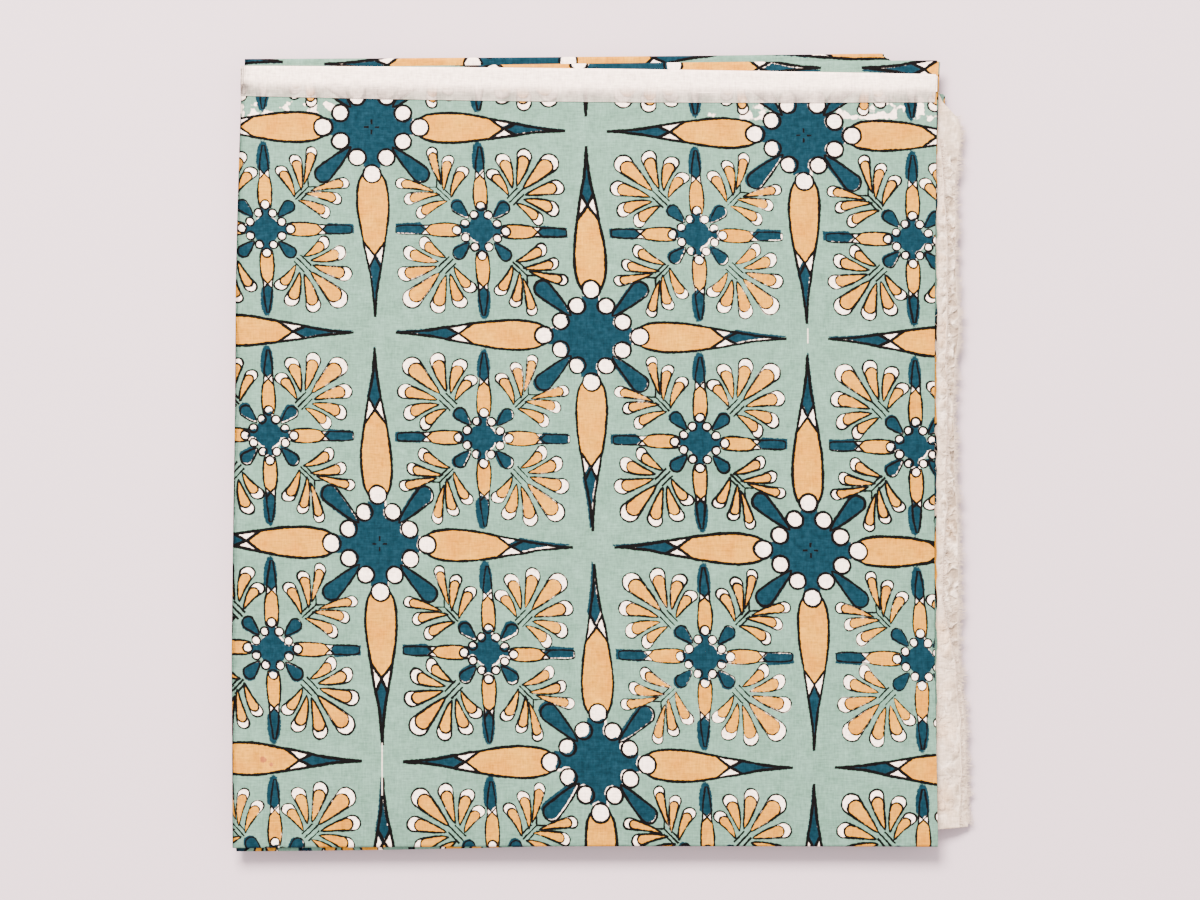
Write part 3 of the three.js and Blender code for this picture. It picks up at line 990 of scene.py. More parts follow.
# %% Sizes of the small flower
FLOWER_HUB = Dot(x=0, y=0, size=5.3)
FLOWER_FRONT_BEAD = Dot(x=10.0, y=0, size=1.8)
FLOWER_SIDE_BEAD = Dot(x=6.5, y=2.9, size=1.65)
FLOWER_PETAL = Petal(x0=5.2, y0=5.2, x1=9.4, y1=9.4, size=2.5, bow=0.0)
FLOWER_LOBE_LONG = 8.6
FLOWER_LOBE_HALF = 1.6
ARM = [
    Width(at=8.0, half=1.6),
    Width(at=9.6, half=2.35),
    Width(at=14.0, half=2.8),
    Width(at=19.2, half=2.45),
    Width(at=21.6, half=1.95),
    Width(at=24.0, half=1.8),
    Width(at=32.8, half=1.7),
    Width(at=34.4, half=1.2),
    Width(at=34.8, half=0.0),
]
ARM_STARTS = 8.8
ARM_ENDS = 34.6
ARM_LONG = 36.0
ARM_CROSSING = 22.8
ARM_SLANT = 0.707
CROSSING_ENDS = 25.4
UPRIGHT_NARROWS = 0.6         # how much narrower the upright arms' tips get
NARROWS_FROM = 24.5
NARROWS_TO = 35.0
BLUNT_WIDENS = 0.05
BLUNT_HALF = 2.3
POINTED = Dot(x=28.0, y=0, size=7.4)
POINTED_HALF = 2.45
SMALL_LINE = 0.76
print("a flower is", 2 * ARM_ENDS, "mm from tip to tip")


# %% The small flower
def flower(a, b, upright):
    """A flower around its middle: a along the nearest arm, b across it. The upright arms are pointed."""
    point = pair(a, b)
    beads = least(circle(point, FLOWER_FRONT_BEAD), circle(point, FLOWER_SIDE_BEAD))
    petal = drop(point, FLOWER_PETAL, ROUND_PETAL)
    lobe = most(a - FLOWER_LOBE_LONG, b - FLOWER_LOBE_HALF)
    hub = most(least(circle(point, FLOWER_HUB), lobe), 0 - beads)
    narrower = 1 - upright * between(a, NARROWS_FROM, NARROWS_TO, 0.0, UPRIGHT_NARROWS)
    arm = b - blade_half_width(a, ARM_LONG, ARM) * narrower
    arm = most(arm, ARM_STARTS - a, a - ARM_ENDS)
    blunt = ((a - ARM_CROSSING) + b) * ARM_SLANT
    sharp = ((ARM_CROSSING - a) + b) * ARM_SLANT
    crossing = most(least(abs(blunt), abs(sharp)), arm, a - CROSSING_ENDS)
    blunt_tip = most(b - BLUNT_HALF + (a - ARM_CROSSING) * BLUNT_WIDENS, a - ARM_ENDS)
    in_tip = pair((a - POINTED.x) * (1 / POINTED.size), b * (1 / POINTED_HALF))
    pointed_tip = (vector_node("LENGTH", in_tip, output=1) - 1) * POINTED_HALF
    tip = blunt_tip + (pointed_tip - blunt_tip) * upright
    arm_lines = most(least(abs(arm), crossing), 0 - beads)
    return {
        "lines": least(arm_lines, abs(beads), abs(petal)) - SMALL_LINE / 2,
        "whole": least(arm, beads, petal, hub),
        "peach": most(arm, blunt, 0 - beads),
        "teal": least(most(tip, sharp), petal, hub),
    }


# %% [markdown]
# Between the flower's arms stand four fans of petals, two wide ones and two narrow ones. A petal is a peach
# drop inside a larger white one, so a white crescent stays free at its round end. Half a fan is enough here
# too, because the diagonal mirrors it. A stem of three lines joins it to the flower, and the narrow fan's
# stem is forked.

# %% Sizes of the fans
Stem = namedtuple("Stem", "start end half forked")
Fan = namedtuple("Fan", "petals crescent stem")
WIDE_FAN = Fan(
    petals=[
        Petal(x0=17.6, y0=17.6, x1=28.4, y1=28.4, size=3.8, bow=0.0),
        Petal(x0=18.6, y0=15.0, x1=31.0, y1=18.4, size=3.0, bow=0.25),
        Petal(x0=17.9, y0=13.1, x1=29.0, y1=9.7, size=2.85, bow=0.45),
        Petal(x0=14.9, y0=11.4, x1=23.1, y1=5.5, size=2.5, bow=0.5),
    ],
    crescent=2.3,
    stem=Stem(start=17.0, end=24.6, half=1.9, forked=False),
)
NARROW_FAN = Fan(
    petals=[
        Petal(x0=18.8, y0=16.0, x1=31.8, y1=19.3, size=2.2, bow=0.3),
        Petal(x0=16.4, y0=14.8, x1=28.5, y1=12.8, size=2.35, bow=0.45),
        Petal(x0=13.6, y0=12.0, x1=23.9, y1=7.2, size=2.45, bow=0.5),
    ],
    crescent=1.9,
    stem=Stem(start=17.6, end=25.0, half=1.6, forked=True),
)
FAN_PETAL = 0.72
FAN_LINE = 0.72
SIDE_STARTS_LATER = 0.4
SIDE_ENDS_SOONER = 1.6
FORK_LONG = 2.4
INNER_LINE_IN = 0.5           # the inner line stops this far inside the petal's own line
STEM_OFF_PETALS = 0.2
DIAGONAL = math.sqrt(0.5)
print("the fans have", len(WIDE_FAN.petals), "and", len(NARROW_FAN.petals), "kinds of petals")


# %% The fans
def stem_lines(a, b, stem):
    """The lines from a flower to its fan: one in the middle, one on each side, and the fork."""
    m = (a + b) * DIAGONAL
    n = (a - b) * DIAGONAL
    middle = most(n, stem.start - m, m - stem.end)
    side = most(abs(n - stem.half), stem.start + SIDE_STARTS_LATER - m, m - (stem.end - SIDE_ENDS_SOONER))
    if not stem.forked:
        return least(middle, side)
    fork = most(abs(n - (m - stem.end)) * DIAGONAL, stem.end - m, m - stem.end - FORK_LONG)
    return least(least(middle, side), fork)


def draw_fan(point, a, b, fan):
    """The lines, the whole petals and the petals' peach insides of one kind of fan."""
    wholes = []
    insides = []
    for petal in fan.petals:
        whole, inside = drop(point, petal, FAN_PETAL, fan.crescent)
        wholes.append(whole)
        insides.append(inside)
    whole = least(*wholes)
    inside = least(*insides)
    inner_line = most(abs(inside), whole + INNER_LINE_IN)
    stem = most(stem_lines(a, b, fan.stem), STEM_OFF_PETALS - whole)
    return least(abs(whole), inner_line, stem) - FAN_LINE / 2, whole, inside


def fans(a, b, wide_side):
    """The two kinds of fan round a flower, picked by the side on which the point lies."""
    point = pair(a, b)
    wide = draw_fan(point, a, b, WIDE_FAN)
    narrow = draw_fan(point, a, b, NARROW_FAN)
    picked = []
    for one, other in zip(narrow, wide):
        picked.append(one + (other - one) * wide_side)
    return {"lines": picked[0], "whole": picked[1], "peach": picked[2]}


# %% [markdown]
# ## The repeat
#
# Stars stand on every second square of the chessboard. A ping-pong node folds the whole cloth onto one
# quarter of a square, and one comparison folds that onto the side where the star's middle is the corner.

# %% Folding the cloth onto one corner of the repeat
STAR_PITCH_X = 86.4
STAR_PITCH_Y = 84.4
STAR_AT = (2.4, 47.8)
DRIFT_X = 0.018
DRIFT_Y = 0.01736


def motifs(x, y, needed):
    """Everything the block prints, at a place in the repeat."""
    u = math_node("PINGPONG", x, STAR_PITCH_X)
    v = math_node("PINGPONG", y, STAR_PITCH_Y)
    beyond = math_node("GREATER_THAN", u * (1 / STAR_PITCH_X) + v * (1 / STAR_PITCH_Y), 1.0)
    star_u = u + beyond * (STAR_PITCH_X - u * 2)
    star_v = v + beyond * (STAR_PITCH_Y - v * 2)
    from_x = u - STAR_PITCH_X / 2
    from_y = v - STAR_PITCH_Y / 2
    wide_side = math_node("LESS_THAN", from_x * from_y, 0.0)
    flower_u = abs(from_x)
    flower_v = abs(from_y)
    star_a = most(star_u, star_v)
    star_b = least(star_u, star_v)
    flower_a = most(flower_u, flower_v)
    flower_b = least(flower_u, flower_v)
    upright = math_node("GREATER_THAN", flower_v, flower_u)
    found = [star(star_a, star_b, beyond), flower(flower_a, flower_b, upright)]
    if needed != ["teal"]:
        found.append(fans(flower_a, flower_b, wide_side))
    return {name: least(*[f[name] for f in found if name in f]) for name in needed}


# %% [markdown]
# ## Three blocks, three colours
#
# Each colour has its own carved block, and they are stamped one after another: the pale green ground, which
# leaves the motifs free, then peach, teal and at last the dark outline. Ground and peach fit the outline
# apart from a small slip. The teal block is set down a little to one side and its edges are rougher. These
# slips leave the white slivers and the ragged overlaps that tell a hand print from a machine print.
#
# First come the colours. A shader's colour is the share of each light that the surface sends back, which
# looks darker as a number than the colour on the screen.

# %% The colours
def shade(red, green, blue):
    """A colour for a shader, as the share of each light that the surface sends back."""
    return (red, green, blue, 1.0)


COTTON = shade(0.95, 0.705, 0.584)
# painted shade of the single ply's sinking edge, together with the print below showing through
SHADED_COTTON = shade(0.21, 0.155, 0.13)
# The lit and hollow gauze colours are a painted highlight and painted shade for the margin's crumple.
LIT_GAUZE = shade(0.82, 0.62, 0.50)
GAUZE = shade(0.57, 0.41, 0.305)
SHADED_HOLLOW_GAUZE = shade(0.30, 0.205, 0.143)
PEACHY = shade(0.62, 0.36, 0.19)
RUST = shade(0.22, 0.05, 0.025)
OUTLINE = shade(0.0033, 0.0026, 0.0026)
TEAL_DEEP = shade(0.0027, 0.0128, 0.019)
TEAL_LIGHT = shade(0.0062, 0.0235, 0.034)
PEACH_DEEP = shade(0.405, 0.138, 0.0075)
PEACH_LIGHT = shade(0.482, 0.202, 0.0175)
GREEN_DEEP = shade(0.089, 0.157, 0.111)
GREEN_LIGHT = shade(0.117, 0.193, 0.144)
THREAD = shade(0.62, 0.455, 0.35)
FLOOR = shade(0.537, 0.394, 0.417)
print("the cotton sends back", COTTON[:3], "of red, green and blue")

# %% [markdown]
# A carved line is never quite straight, and rows stamped by hand drift. So the place is moved by noise
# before the motifs are looked up: a little at the size of a petal, and more over the length of a hand. Fine
# noise at the size of the threads is kept for the edges of the ink.

# %% The blocks, and how they were set down
CARVING = 0.22
ROWS_WANDER = 0.9
SLIP = 0.3
TEAL_OFF = 0.35
TEAL_WANDERS_ACROSS = 0.9
TEAL_WANDERS_ALONG = 1.0

place = attribute("place", "Vector")
printed_field = attribute("printed", "Fac")
ink_field = attribute("ink", "Fac")
thin_field = attribute("thin", "Fac")
gauze_field = attribute("gauze", "Fac")
loose_field = attribute("loose", "Fac")
raw_x, raw_y = parts(place)
lattice_x = (raw_x - STAR_AT[0]) + (raw_y - STAR_AT[1]) * DRIFT_X
lattice_y = (raw_y - STAR_AT[1]) + (raw_x - STAR_AT[0]) * DRIFT_Y
across_wander = noise(place, size=75.0, seed=2.0, detail=0.0) * ROWS_WANDER
along_wander = noise(place, size=75.0, seed=4.0, detail=0.0) * ROWS_WANDER
lattice_x = lattice_x + (noise(place, size=11.0, seed=1.0) * CARVING + across_wander)
lattice_y = lattice_y + (noise(place, size=11.0, seed=3.0) * CARVING + along_wander)
main_blocks = motifs(lattice_x, lattice_y, ["lines", "whole", "peach"])

slip = noise(place, size=13.0, seed=26.0) * SLIP
teal_x = lattice_x + TEAL_OFF + noise(place, size=90.0, seed=7.0, detail=0.0) * TEAL_WANDERS_ACROSS
teal_y = lattice_y - TEAL_OFF + noise(place, size=90.0, seed=8.0, detail=0.0) * TEAL_WANDERS_ALONG
teal_block = motifs(teal_x, teal_y, ["teal"])
print("the motifs take", len(tree.nodes), "nodes")

# %% [markdown]
# A distance becomes ink with a soft step at the shape's edge. Roughness is added to the distance before the
# step, so it eats into the edge and never into the middle of a shape. The outline block is worn, which
# makes its lines thicker here and thinner there.

# %% Where each block leaves its ink
EDGE_SOFT = 0.15
LINE_SOFT = 0.13
TEAL_ROUGHER = 2.2
TEAL_SPREADS = 0.3
GROUND_ROUGHER = 1.3
GROUND_SPREADS = 0.1
LINE_ROUGHNESS = 0.6
OF_FIBRES = 0.12              # millimetres that each kind of unevenness takes or gives
OF_THREADS = 0.08
OF_WEAR = 0.2
OF_PRESSURE = 0.12
PRINT_EDGE_WAVERS = 0.9

edge_noise = noise(place, size=1.3, seed=5.0, detail=2.0)
thread_noise = noise(place, size=0.5, seed=6.0)
roughness = edge_noise * OF_FIBRES + thread_noise * OF_THREADS
edge_of_print = printed_field + noise(place, size=9.0, seed=9.0, detail=2.0) * PRINT_EDGE_WAVERS
inside_print = between(edge_of_print, -0.15, 0.25) * ink_field
peach_ink = inked(main_blocks["peach"] + roughness + slip, EDGE_SOFT)
teal_ink = inked(teal_block["teal"] + roughness * TEAL_ROUGHER - TEAL_SPREADS, EDGE_SOFT)
worn = noise(place, size=6.0, seed=10.0, detail=2.0) * OF_WEAR + edge_noise * OF_FIBRES
worn = worn + noise(place, size=70.0, seed=25.0, detail=0.0) * OF_PRESSURE
line_ink = inked(main_blocks["lines"] + worn + roughness * LINE_ROUGHNESS, LINE_SOFT)
motif_free = inked(main_blocks["whole"] + roughness * GROUND_ROUGHER - slip - GROUND_SPREADS, LINE_SOFT)
ground_ink = 1 - motif_free
print("with the inks there are", len(tree.nodes), "nodes")

# %% [markdown]
# Ink lies thicker in one place than in another, so each colour runs between a deep and a light one. At the
# far end of the length the ground block printed patchily, mostly towards the sides, and everywhere a few
# threads of the weave took no ink and left pinholes.

# %% How the ink lies
FAR_END_MIDDLE = 140.5
PATCHES_START = 1.25          # above 1 the patchiness leaves the rest of the cloth alone
PATCHES_IN_MIDDLE = 0.25
PATCHES_AT_SIDES = 0.85
PATCHES_OVER = (2.5, 7.0)     # millimetres along the cloth from the far end's middle
SIDES_OVER = (38, 80)         # and across it
SIDES_MIDDLE = 10
PINHOLES_ABOVE = 0.88


def cover(size, seed):
    """How thickly an ink lies, from 0 to 1."""
    return between(noise(place, size=size, seed=seed, detail=3.0), -1.0, 1.0)


green = mixed(cover(8.0, 13.0), GREEN_DEEP, GREEN_LIGHT)
peach = mixed(cover(9.0, 12.0), PEACH_DEEP, PEACH_LIGHT)
teal = mixed(cover(2.2, 11.0), TEAL_DEEP, TEAL_LIGHT)
far_end = between(abs(raw_y - FAR_END_MIDDLE), *PATCHES_OVER, 1.0, 0.0)
towards_sides = between(abs(raw_x + SIDES_MIDDLE), *SIDES_OVER)
patches = noise(place, size=4.5, seed=14.0, detail=2.0)
missed = far_end * (PATCHES_IN_MIDDLE + PATCHES_AT_SIDES * towards_sides)
ground_ink = ground_ink * between(patches + PATCHES_START - missed, -0.08, 0.12)
pinholes = between(noise(place, size=1.2, seed=16.0), PINHOLES_ABOVE, 1.0, 1.0, 0.0)
print("with the unevenness of the ink there are", len(tree.nodes), "nodes")

# %% [markdown]
# ## The margin's gauze
#
# The unprinted margin is loose open gauze, and it crumples. Its colour gets a painted highlight on the ridges
# and painted shade in the hollows, more so on the loose part. The same relief that colours it also goes into
# the bump later. Near the print a little peach has run into it.

# %% The margin's gauze
WARP = 2.2
HOLLOW_SHADE_IN_THIN = 0.25
OF_CRUMPLE = 0.6              # shares of the relief
OF_RIDGES = 0.5
RIDGE_SHARP = 2.2
LIT_WHEN_FLAT = 0.35          # the smooth part of the margin shows this much of the painted highlight and shade
HOLLOW_SHADE_WHEN_FLAT = 0.3
PEACH_IN_GAUZE = 0.6

warped_x = raw_x + noise(place, size=5.0, seed=17.0) * WARP
warped_y = raw_y + noise(place, size=5.0, seed=18.0) * WARP
warped = pair(warped_x, warped_y)
crumple = noise(warped, size=3.6, seed=19.0, detail=3.0)
ridges = 0.5 - abs(noise(warped, size=6.5, seed=22.0)) * RIDGE_SHARP
relief = crumple * OF_CRUMPLE + ridges * OF_RIDGES
# Painted highlight on the crumple's ridges and painted shade in its hollows, more where a single ply lies
# over the floor.
lit = between(relief, 0.0, 0.5)
hollow = between(relief - thin_field * HOLLOW_SHADE_IN_THIN, -0.55, 0.1, 1.0, 0.0)
lit = lit * (LIT_WHEN_FLAT + (1 - LIT_WHEN_FLAT) * loose_field)
gauze_here = mixed(lit, GAUZE, LIT_GAUZE)
hollow = hollow * (HOLLOW_SHADE_WHEN_FLAT + (1 - HOLLOW_SHADE_WHEN_FLAT) * loose_field)
gauze_here = mixed(hollow, gauze_here, SHADED_HOLLOW_GAUZE)
near_print = between(printed_field, -11.0, -1.0)
near_print = near_print * between(noise(place, size=17.0, seed=15.0), -0.1, 0.7)
gauze_here = mixed(near_print * PEACH_IN_GAUZE, gauze_here, PEACHY)
print("with the gauze there are", len(tree.nodes), "nodes")

# %% [markdown]
# A single ply lets what lies below it through. On the turned-over edge and on the margin's rim the cotton
# is therefore darkened, unevenly, because it doesn't lie equally close everywhere: partly the print below
# showing through, partly painted shade of the edge that sinks onto it. Here the bare cotton and the gauze
# become one unprinted cloth.

# %% The unprinted cloth
SHOWS_AND_SHADES_LEAST = 0.55

opaque = 1 - thin_field
# Painted shade, partly the print below showing through: the single ply darkens unevenly towards its edge.
shows_and_shades = between(noise(place, size=7.0, seed=23.0, detail=2.0), -1.0, 1.0, SHOWS_AND_SHADES_LEAST, 1.0)
see_through_and_shade = (1 - opaque * opaque) * shows_and_shades
cotton_here = mixed(see_through_and_shade, COTTON, SHADED_COTTON)
cotton_here = mixed(gauze_field, cotton_here, gauze_here)
print("with the bare cotton there are", len(tree.nodes), "nodes")

# %% [markdown]
# ## Colour over colour
#
# The inks go over the bare cotton in the printer's order. Two rusty spots and two pale slubs in the weave
# come last: small marks like these make the cloth a used one.

# %% Colour over colour
RUST_SPOTS = [
    Dot(x=-128.8, y=-119.4, size=1.3),
    Dot(x=-125.6, y=-121.2, size=0.8),
]
RUST_STRENGTH = 0.8
LONG_SLUB_HALF = 9.8
SHORT_SLUB_HALF = 2.8
SLUB_STRENGTH = 0.6

colour = mixed(ground_ink * inside_print * pinholes, cotton_here, green)
colour = mixed(peach_ink * inside_print, colour, peach)
colour = mixed(teal_ink * inside_print * pinholes, colour, teal)
colour = mixed(line_ink * inside_print, colour, OUTLINE)

rust = least(*[circle(place, spot) for spot in RUST_SPOTS]) + edge_noise * 0.5
colour = mixed(between(rust, -0.3, 0.3, RUST_STRENGTH, 0.0), colour, RUST)
left_slub = most(abs(raw_x + 81.2), abs(raw_y + 123) - LONG_SLUB_HALF)
right_slub = most(abs(raw_x - 89.2), abs(raw_y - 48) - SHORT_SLUB_HALF)
slubs = least(left_slub, right_slub)
colour = mixed(between(slubs, 0.15, 0.35, SLUB_STRENGTH, 0.0), colour, COTTON)
print("the whole colour takes", len(tree.nodes), "nodes")

# %% [markdown]
# ## The weave
#
# Cotton is dull, so the surface is rough with hardly any shine. Its threads are finer than a pixel of the
# photograph but still give the cloth its grain: one noise stretched along the cloth and one across it stand
# for the uneven threads. They make the colour lighter and darker and, through a bump, roughen the light. A
# second bump carries the margin's crumple and soft streaks from pressing.

# %% The weave
STRETCHED = 0.14
STREAK = 0.16
THREAD_WIDE = 0.62
BUMP_HIGH = 0.045 * MM
CREASE_HIGH = MM
LIGHTER_BY_WEAVE = 0.18
LIGHTER_BY_FIBRES = 0.16
LIGHTER_BY_PATCHES = 0.12
CRUMPLE_HIGH = 1.3            # shares of a crease's height
STREAKS_HIGH = 0.05

thread_across = noise(vector_node("MULTIPLY", place, (STRETCHED, 1.0, 1.0)), size=THREAD_WIDE, seed=20.0)
thread_along = noise(vector_node("MULTIPLY", place, (1.0, STRETCHED, 1.0)), size=THREAD_WIDE, seed=21.0)
weave = thread_across + thread_along
lightness = 1.0 + weave * LIGHTER_BY_WEAVE + edge_noise * LIGHTER_BY_FIBRES + patches * LIGHTER_BY_PATCHES
woven = vector_node("SCALE", colour, output=0)
feed(woven.socket.node.inputs["Scale"], lightness)
soft_streaks = noise(vector_node("MULTIPLY", place, (STREAK, 1.0, 1.0)), size=3.0, seed=24.0, detail=2.0)
creases = relief * loose_field * CRUMPLE_HIGH + soft_streaks * STREAKS_HIGH

# %% [markdown]
# The surface takes the woven colour and the two bumps, one after the other.

# %% The cloth's surface
COTTON_ROUGHNESS = 0.9
COTTON_SHINE = 0.02

surface = tree.nodes.new("ShaderNodeBsdfPrincipled")
feed(surface.inputs["Base Color"], woven)
surface.inputs["Roughness"].default_value = COTTON_ROUGHNESS
surface.inputs["Specular IOR Level"].default_value = COTTON_SHINE
creased = tree.nodes.new("ShaderNodeBump")
creased.inputs["Distance"].default_value = CREASE_HIGH
feed(creased.inputs["Height"], creases)
bump = tree.nodes.new("ShaderNodeBump")
bump.inputs["Distance"].default_value = BUMP_HIGH
feed(bump.inputs["Height"], weave)
tree.links.new(creased.outputs["Normal"], bump.inputs["Normal"])
tree.links.new(bump.outputs["Normal"], surface.inputs["Normal"])
output = tree.nodes.new("ShaderNodeOutputMaterial")
tree.links.new(surface.outputs["BSDF"], output.inputs["Surface"])
cloth_mesh.materials.append(paint)
print("the cloth's material has", len(tree.nodes), "nodes")

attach(cloth, "root")
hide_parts("folded_cloth")

# %% [markdown]
# ## The selvedge's threads
#
# Along the four selvedges of the margin the weft threads stick out a few millimetres, soft and curly. Each
# is a thin tube with a random lean and curl. All threads together are one mesh, so they are only lists of
# points and faces until the end.

# %% One thread
THREAD_RADIUS = 0.115
THREAD_SIDES = 3
THREAD_STEPS = 5
THINNER_AT_TIP = 0.55
random = np.random.default_rng(7)
thread_points = []
thread_faces = []


def join_rings(base, rings, sides):
    """Faces between rings of points that follow each other from base on."""
    for ring in range(rings - 1):
        for k in range(sides):
            a = base + ring * sides + k
            b = base + ring * sides + (k + 1) % sides
            thread_faces.append((a, b, b + sides, a + sides))


def add_thread(x, y, z, heading, droop, long, curl):
    """One thread from a place on the selvedge, curling as it goes out."""
    base = len(thread_points)
    phase = random.uniform(0, 2 * math.pi)
    for step in range(THREAD_STEPS + 1):
        t = step / THREAD_STEPS
        px = x + long * t * math.cos(heading * t)
        py = y + long * t * math.sin(heading * t) + curl * t * math.sin(phase + 4.5 * t)
        pz = z - droop * t * t + 0.3 * curl * t * math.cos(phase + 5.5 * t)
        size = THREAD_RADIUS * (1 - THINNER_AT_TIP * t)
        for k in range(THREAD_SIDES):
            angle = 2 * math.pi * k / THREAD_SIDES
            thread_points.append((px, py + size * math.cos(angle), pz + size * math.sin(angle)))
    join_rings(base, THREAD_STEPS + 1, THREAD_SIDES)


# %% [markdown]
# The upper selvedge is the one that is seen most, so its threads stand closest. They come in clumps, as
# threads do that have been handled.

# %% The threads of the four selvedges
Edge = namedtuple("Edge", "ply layer spacing longest droop lift until")
EDGES = [
    Edge(ply=4, layer=UPPER_MARGIN, spacing=0.15, longest=4.6, droop=0.7, lift=0.0, until=137),
    Edge(ply=4, layer=LOWER_MARGIN, spacing=0.24, longest=5.0, droop=0.8, lift=0.0, until=135),
    Edge(ply=3, layer=UPPER_MARGIN, spacing=0.34, longest=3.4, droop=0.9, lift=0.25, until=128),
    Edge(ply=3, layer=LOWER_MARGIN, spacing=0.6, longest=3.0, droop=0.6, lift=0.0, until=130),
]
FIRST_THREAD = -147.5
ROOTED = 0.3                  # a thread starts this far inside the selvedge
SHORTEST_SHARE = 0.35
CLUMPING = 0.25


def edge_of(ply_number, layer):
    """The selvedge of a ply along one layer, as places ordered by Y."""
    rows = np.where(row_layer == layer)[0]
    column = len(columns) - 1 if ply_number == 4 else 0
    order = rows[np.argsort(cloth_y[rows, column])]
    return cloth_x[order, column], cloth_y[order, column], cloth_z[order, column]


for edge in EDGES:
    xs, ys, zs = edge_of(edge.ply, edge.layer)
    y = FIRST_THREAD
    while y < edge.until:
        x = float(np.interp(y, ys, xs))
        z = float(np.interp(y, ys, zs))
        clump = 1 - CLUMPING + CLUMPING * math.sin(y / 1.3 + 2 * math.sin(y / 4.1))
        long = random.uniform(SHORTEST_SHARE, 1.0) * edge.longest * clump
        heading = random.normal(0, 0.8)
        droop = random.uniform(0, edge.droop)
        add_thread(x - ROOTED, y, z + edge.lift, heading, droop, long, random.uniform(0.1, 0.8))
        y += edge.spacing * random.uniform(0.4, 1.6)
print(len(thread_points) // (THREAD_SIDES * (THREAD_STEPS + 1)), "threads along the selvedges")

# %% [markdown]
# The third ply's selvedge also has a thicker edge thread that wavers in and out of sight. It is a tube
# along a path, as thick at each place as a list says.

# %% The edge thread
CORD_SIDES = 5
CORD_STEP = 0.6
CORD_FROM = -146
CORD_TO = 118
CORD_THINNEST = 0.07
CORD_THICKER_BY = 0.2


def add_strand(path, sizes, sides):
    """A tube along a path of places, as thick as sizes says at each."""
    base = len(thread_points)
    path = np.array(path)
    heading = np.gradient(path, axis=0)
    heading = heading / np.linalg.norm(heading, axis=1)[:, None]
    sideways = np.cross(heading, (0.0, 0.0, 1.0))
    sideways = sideways / np.linalg.norm(sideways, axis=1)[:, None]
    upward = np.cross(sideways, heading)
    for middle, side, up, size in zip(path, sideways, upward, sizes):
        for k in range(sides):
            angle = 2 * math.pi * k / sides
            thread_points.append(tuple(middle + size * (side * math.cos(angle) + up * math.sin(angle))))
    join_rings(base, len(path), sides)


xs, ys, zs = edge_of(3, UPPER_MARGIN)
cord_y = np.arange(CORD_FROM, CORD_TO, CORD_STEP)
cord_x = np.interp(cord_y, ys, xs) - 0.5 + 0.55 * ripple(cord_y / 1.7, 0.5, 0.9)
cord_z = np.interp(cord_y, ys, zs) + 0.2 + 0.15 * ripple(cord_y / 2.1, 1.5, 0.2)
in_sight = ease(0.4 + 1.3 * ripple(cord_y / 13, 0.0, 4.0))
cord_size = CORD_THINNEST + CORD_THICKER_BY * in_sight * (0.8 + 0.2 * np.sin(cord_y * 2.1))
add_strand(np.stack([cord_x, cord_y, cord_z], axis=-1), cord_size, CORD_SIDES)
print("the edge thread has", len(cord_y), "places along it")

# %% [markdown]
# Loose curls of thread lie on the crumpled stretch of the margin. Each picks a random row and column there,
# leaves out the places under another ply, and runs round part of an opening circle.

# %% Curls on the margin
CURLS = 220
CURL_RADIUS = 0.085
CURL_SIDES = 3
CURL_STEPS = 11
OVER_THE_CLOTH = 0.22
CURLS_FROM = -140
CURLS_TO = 116
WELL_OUT = 0.006              # share of the way across past the start of the close columns

selvedge_y = cloth_y[:, 0]
curl_rows = np.where((row_layer == UPPER_MARGIN) & (selvedge_y < CURLS_TO) & (selvedge_y > CURLS_FROM))[0]
curl_columns = [
    number for number, column in enumerate(columns)
    if column.ply >= 3 and column.share > MARGIN_SHARE + WELL_OUT
]
for _ in range(CURLS):
    row = random.choice(curl_rows)
    column = random.choice(curl_columns)
    if columns[column].ply == 4 and cloth_x[row, column] < cloth_x[row, 0]:
        continue
    middle = np.array([cloth_x[row, column], cloth_y[row, column], cloth_z[row, column] + OVER_THE_CLOTH])
    size = random.uniform(0.6, 1.9)
    first_angle = random.uniform(0, 2 * math.pi)
    turns = random.uniform(0.35, 1.1)
    opening = random.uniform(0.8, 1.5)
    path = []
    for t in np.linspace(0, 1, CURL_STEPS):
        angle = first_angle + 2 * math.pi * turns * t
        reach = size * (1 + (opening - 1) * t)
        wave = 0.15 * math.sin(3 * angle)
        path.append(middle + (reach * math.cos(angle), reach * math.sin(angle) * 1.2, wave))
    add_strand(path, np.full(CURL_STEPS, CURL_RADIUS), CURL_SIDES)
print(len(thread_faces), "faces of thread")

# %% [markdown]
# The lists become one mesh with a plain cotton thread's material. A small helper makes such a material,
# because the floor needs one too.

# %% The threads' mesh
THREAD_ROUGHNESS = 0.95
THREAD_SHINE = 0.15


def plain_paint(name, colour, roughness):
    """A material of one colour, and its shader for further changes."""
    material = bpy.data.materials.new(name)
    material.use_nodes = True
    shader = material.node_tree.nodes["Principled BSDF"]
    shader.inputs["Base Color"].default_value = colour
    shader.inputs["Roughness"].default_value = roughness
    return material, shader


thread_mesh = bpy.data.meshes.new("selvedge_threads")
points = [((x + shift_x) * MM, (y + shift_y) * MM, z * MM) for x, y, z in thread_points]
thread_mesh.from_pydata(points, [], thread_faces)
thread_mesh.shade_smooth()
threads = bpy.data.objects.new("selvedge_threads", thread_mesh)
bpy.context.scene.collection.objects.link(threads)
thread_paint, thread_shader = plain_paint("cotton thread", THREAD, THREAD_ROUGHNESS)
thread_shader.inputs["Specular IOR Level"].default_value = THREAD_SHINE
thread_mesh.materials.append(thread_paint)
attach(threads, "root")
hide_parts("selvedge_fringe")
print("the threads reach", round(max(point[0] for point in thread_points), 1), "mm to the right")
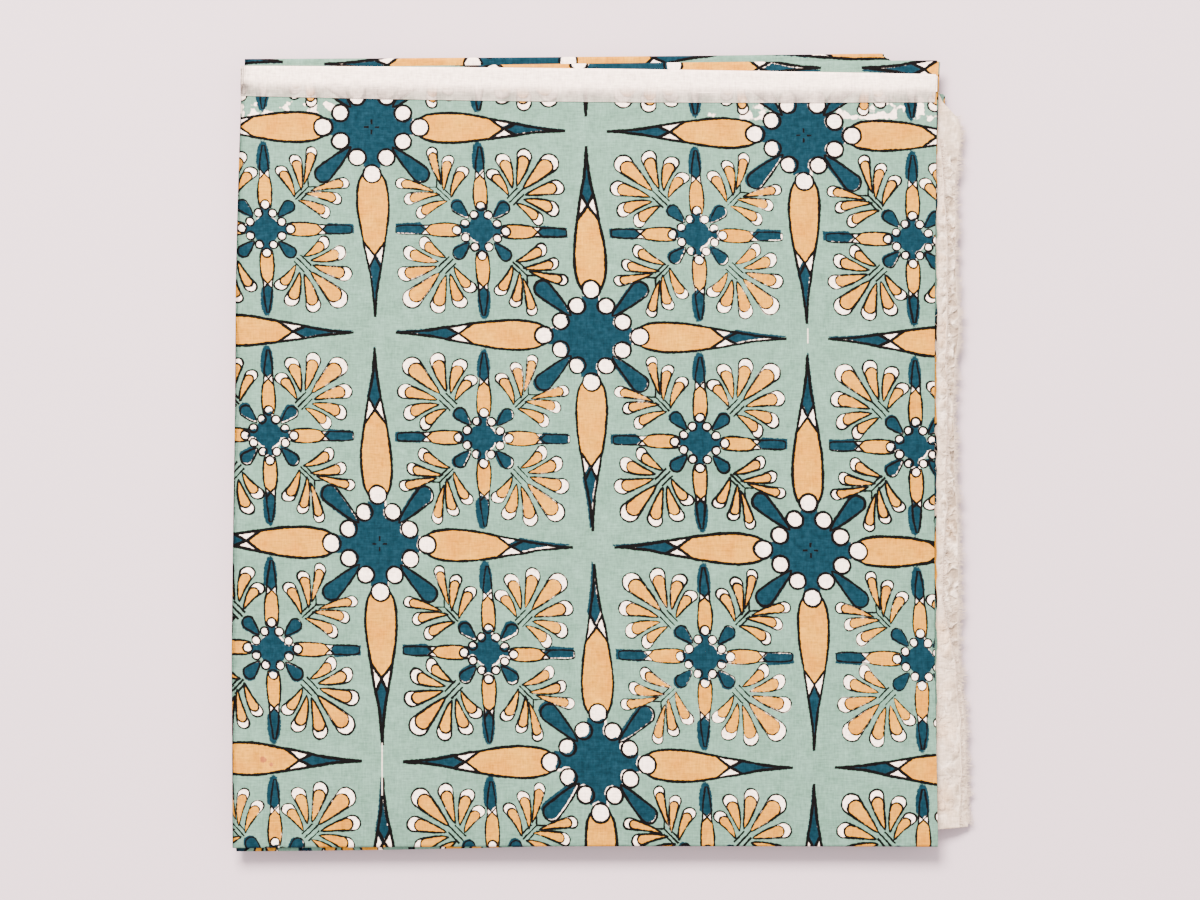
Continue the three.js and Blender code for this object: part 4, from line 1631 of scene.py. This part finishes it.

# %% [markdown]
# The cloth is one flat sheet when it is opened.

# %% [markdown]
# ## The floor, the light and the camera
#
# The photograph looks straight down in soft daylight that comes from the far side, a little from the left.
# One large soft lamp and a pale surrounding give the same short, soft shadows on a plain floor.

# %% Floor
FLOOR_SIZE = 6
FLOOR_ROUGHNESS = 0.8
bpy.ops.mesh.primitive_plane_add(size=FLOOR_SIZE, location=(0, 0, 0))
floor = bpy.context.object
floor.name = "floor"
floor_paint = plain_paint("pale floor", FLOOR, FLOOR_ROUGHNESS)[0]
floor.data.materials.append(floor_paint)
print("the floor is", FLOOR_SIZE, "m wide")

# %% [markdown]
# The lamp is a large soft rectangle behind the far side. The surrounding is almost white, a little bluish
# like a sky.

# %% Light
LAMP_WATTS = 334
LAMP_WIDTH = 1.1
LAMP_DEPTH = 0.8
LAMP_COLOUR = (1.0, 0.985, 0.96)
LAMP_PLACE = (-0.5, 1.5, 1.9)
SURROUNDING = 2.07
SKY_COLOUR = shade(0.95, 0.975, 1.0)

lamp_data = bpy.data.lights.new("window light", "AREA")
lamp_data.shape = "RECTANGLE"
lamp_data.size = LAMP_WIDTH
lamp_data.size_y = LAMP_DEPTH
lamp_data.energy = LAMP_WATTS
lamp_data.color = LAMP_COLOUR
lamp = bpy.data.objects.new("window light", lamp_data)
lamp.location = LAMP_PLACE
bpy.context.scene.collection.objects.link(lamp)
lamp.rotation_euler = lamp.location.to_track_quat("Z", "Y").to_euler()
room = bpy.data.worlds.new("pale room")
room.use_nodes = True
background = room.node_tree.nodes["Background"]
background.inputs["Color"].default_value = SKY_COLOUR
background.inputs["Strength"].default_value = SURROUNDING
bpy.context.scene.world = room
print("the lamp gives", LAMP_WATTS, "W, the surrounding a strength of", SURROUNDING)

# %% [markdown]
# The camera looks straight down. Its focal length follows from how much of the table it has to see at the
# height of the stack's top.

# %% Camera
PHOTO_WIDTH = 0.480           # metres at the height of the stack's top
CAMERA_HEIGHT = 1.6
TOP_OF_STACK = 0.013
SENSOR = 36
SEEN_FROM = (6.0, 2.8)        # the picture's middle, in the fold table's millimetres

camera_data = bpy.data.cameras.new("camera")
camera_data.sensor_width = SENSOR
camera_data.lens = SENSOR * (CAMERA_HEIGHT - TOP_OF_STACK) / PHOTO_WIDTH
camera_data.clip_start = 0.05
camera = bpy.data.objects.new("camera", camera_data)
camera.location = ((SEEN_FROM[0] + shift_x) * MM, (SEEN_FROM[1] + shift_y) * MM, CAMERA_HEIGHT)
bpy.context.scene.collection.objects.link(camera)
bpy.context.scene.camera = camera
print("the lens is", round(camera_data.lens), "mm long")
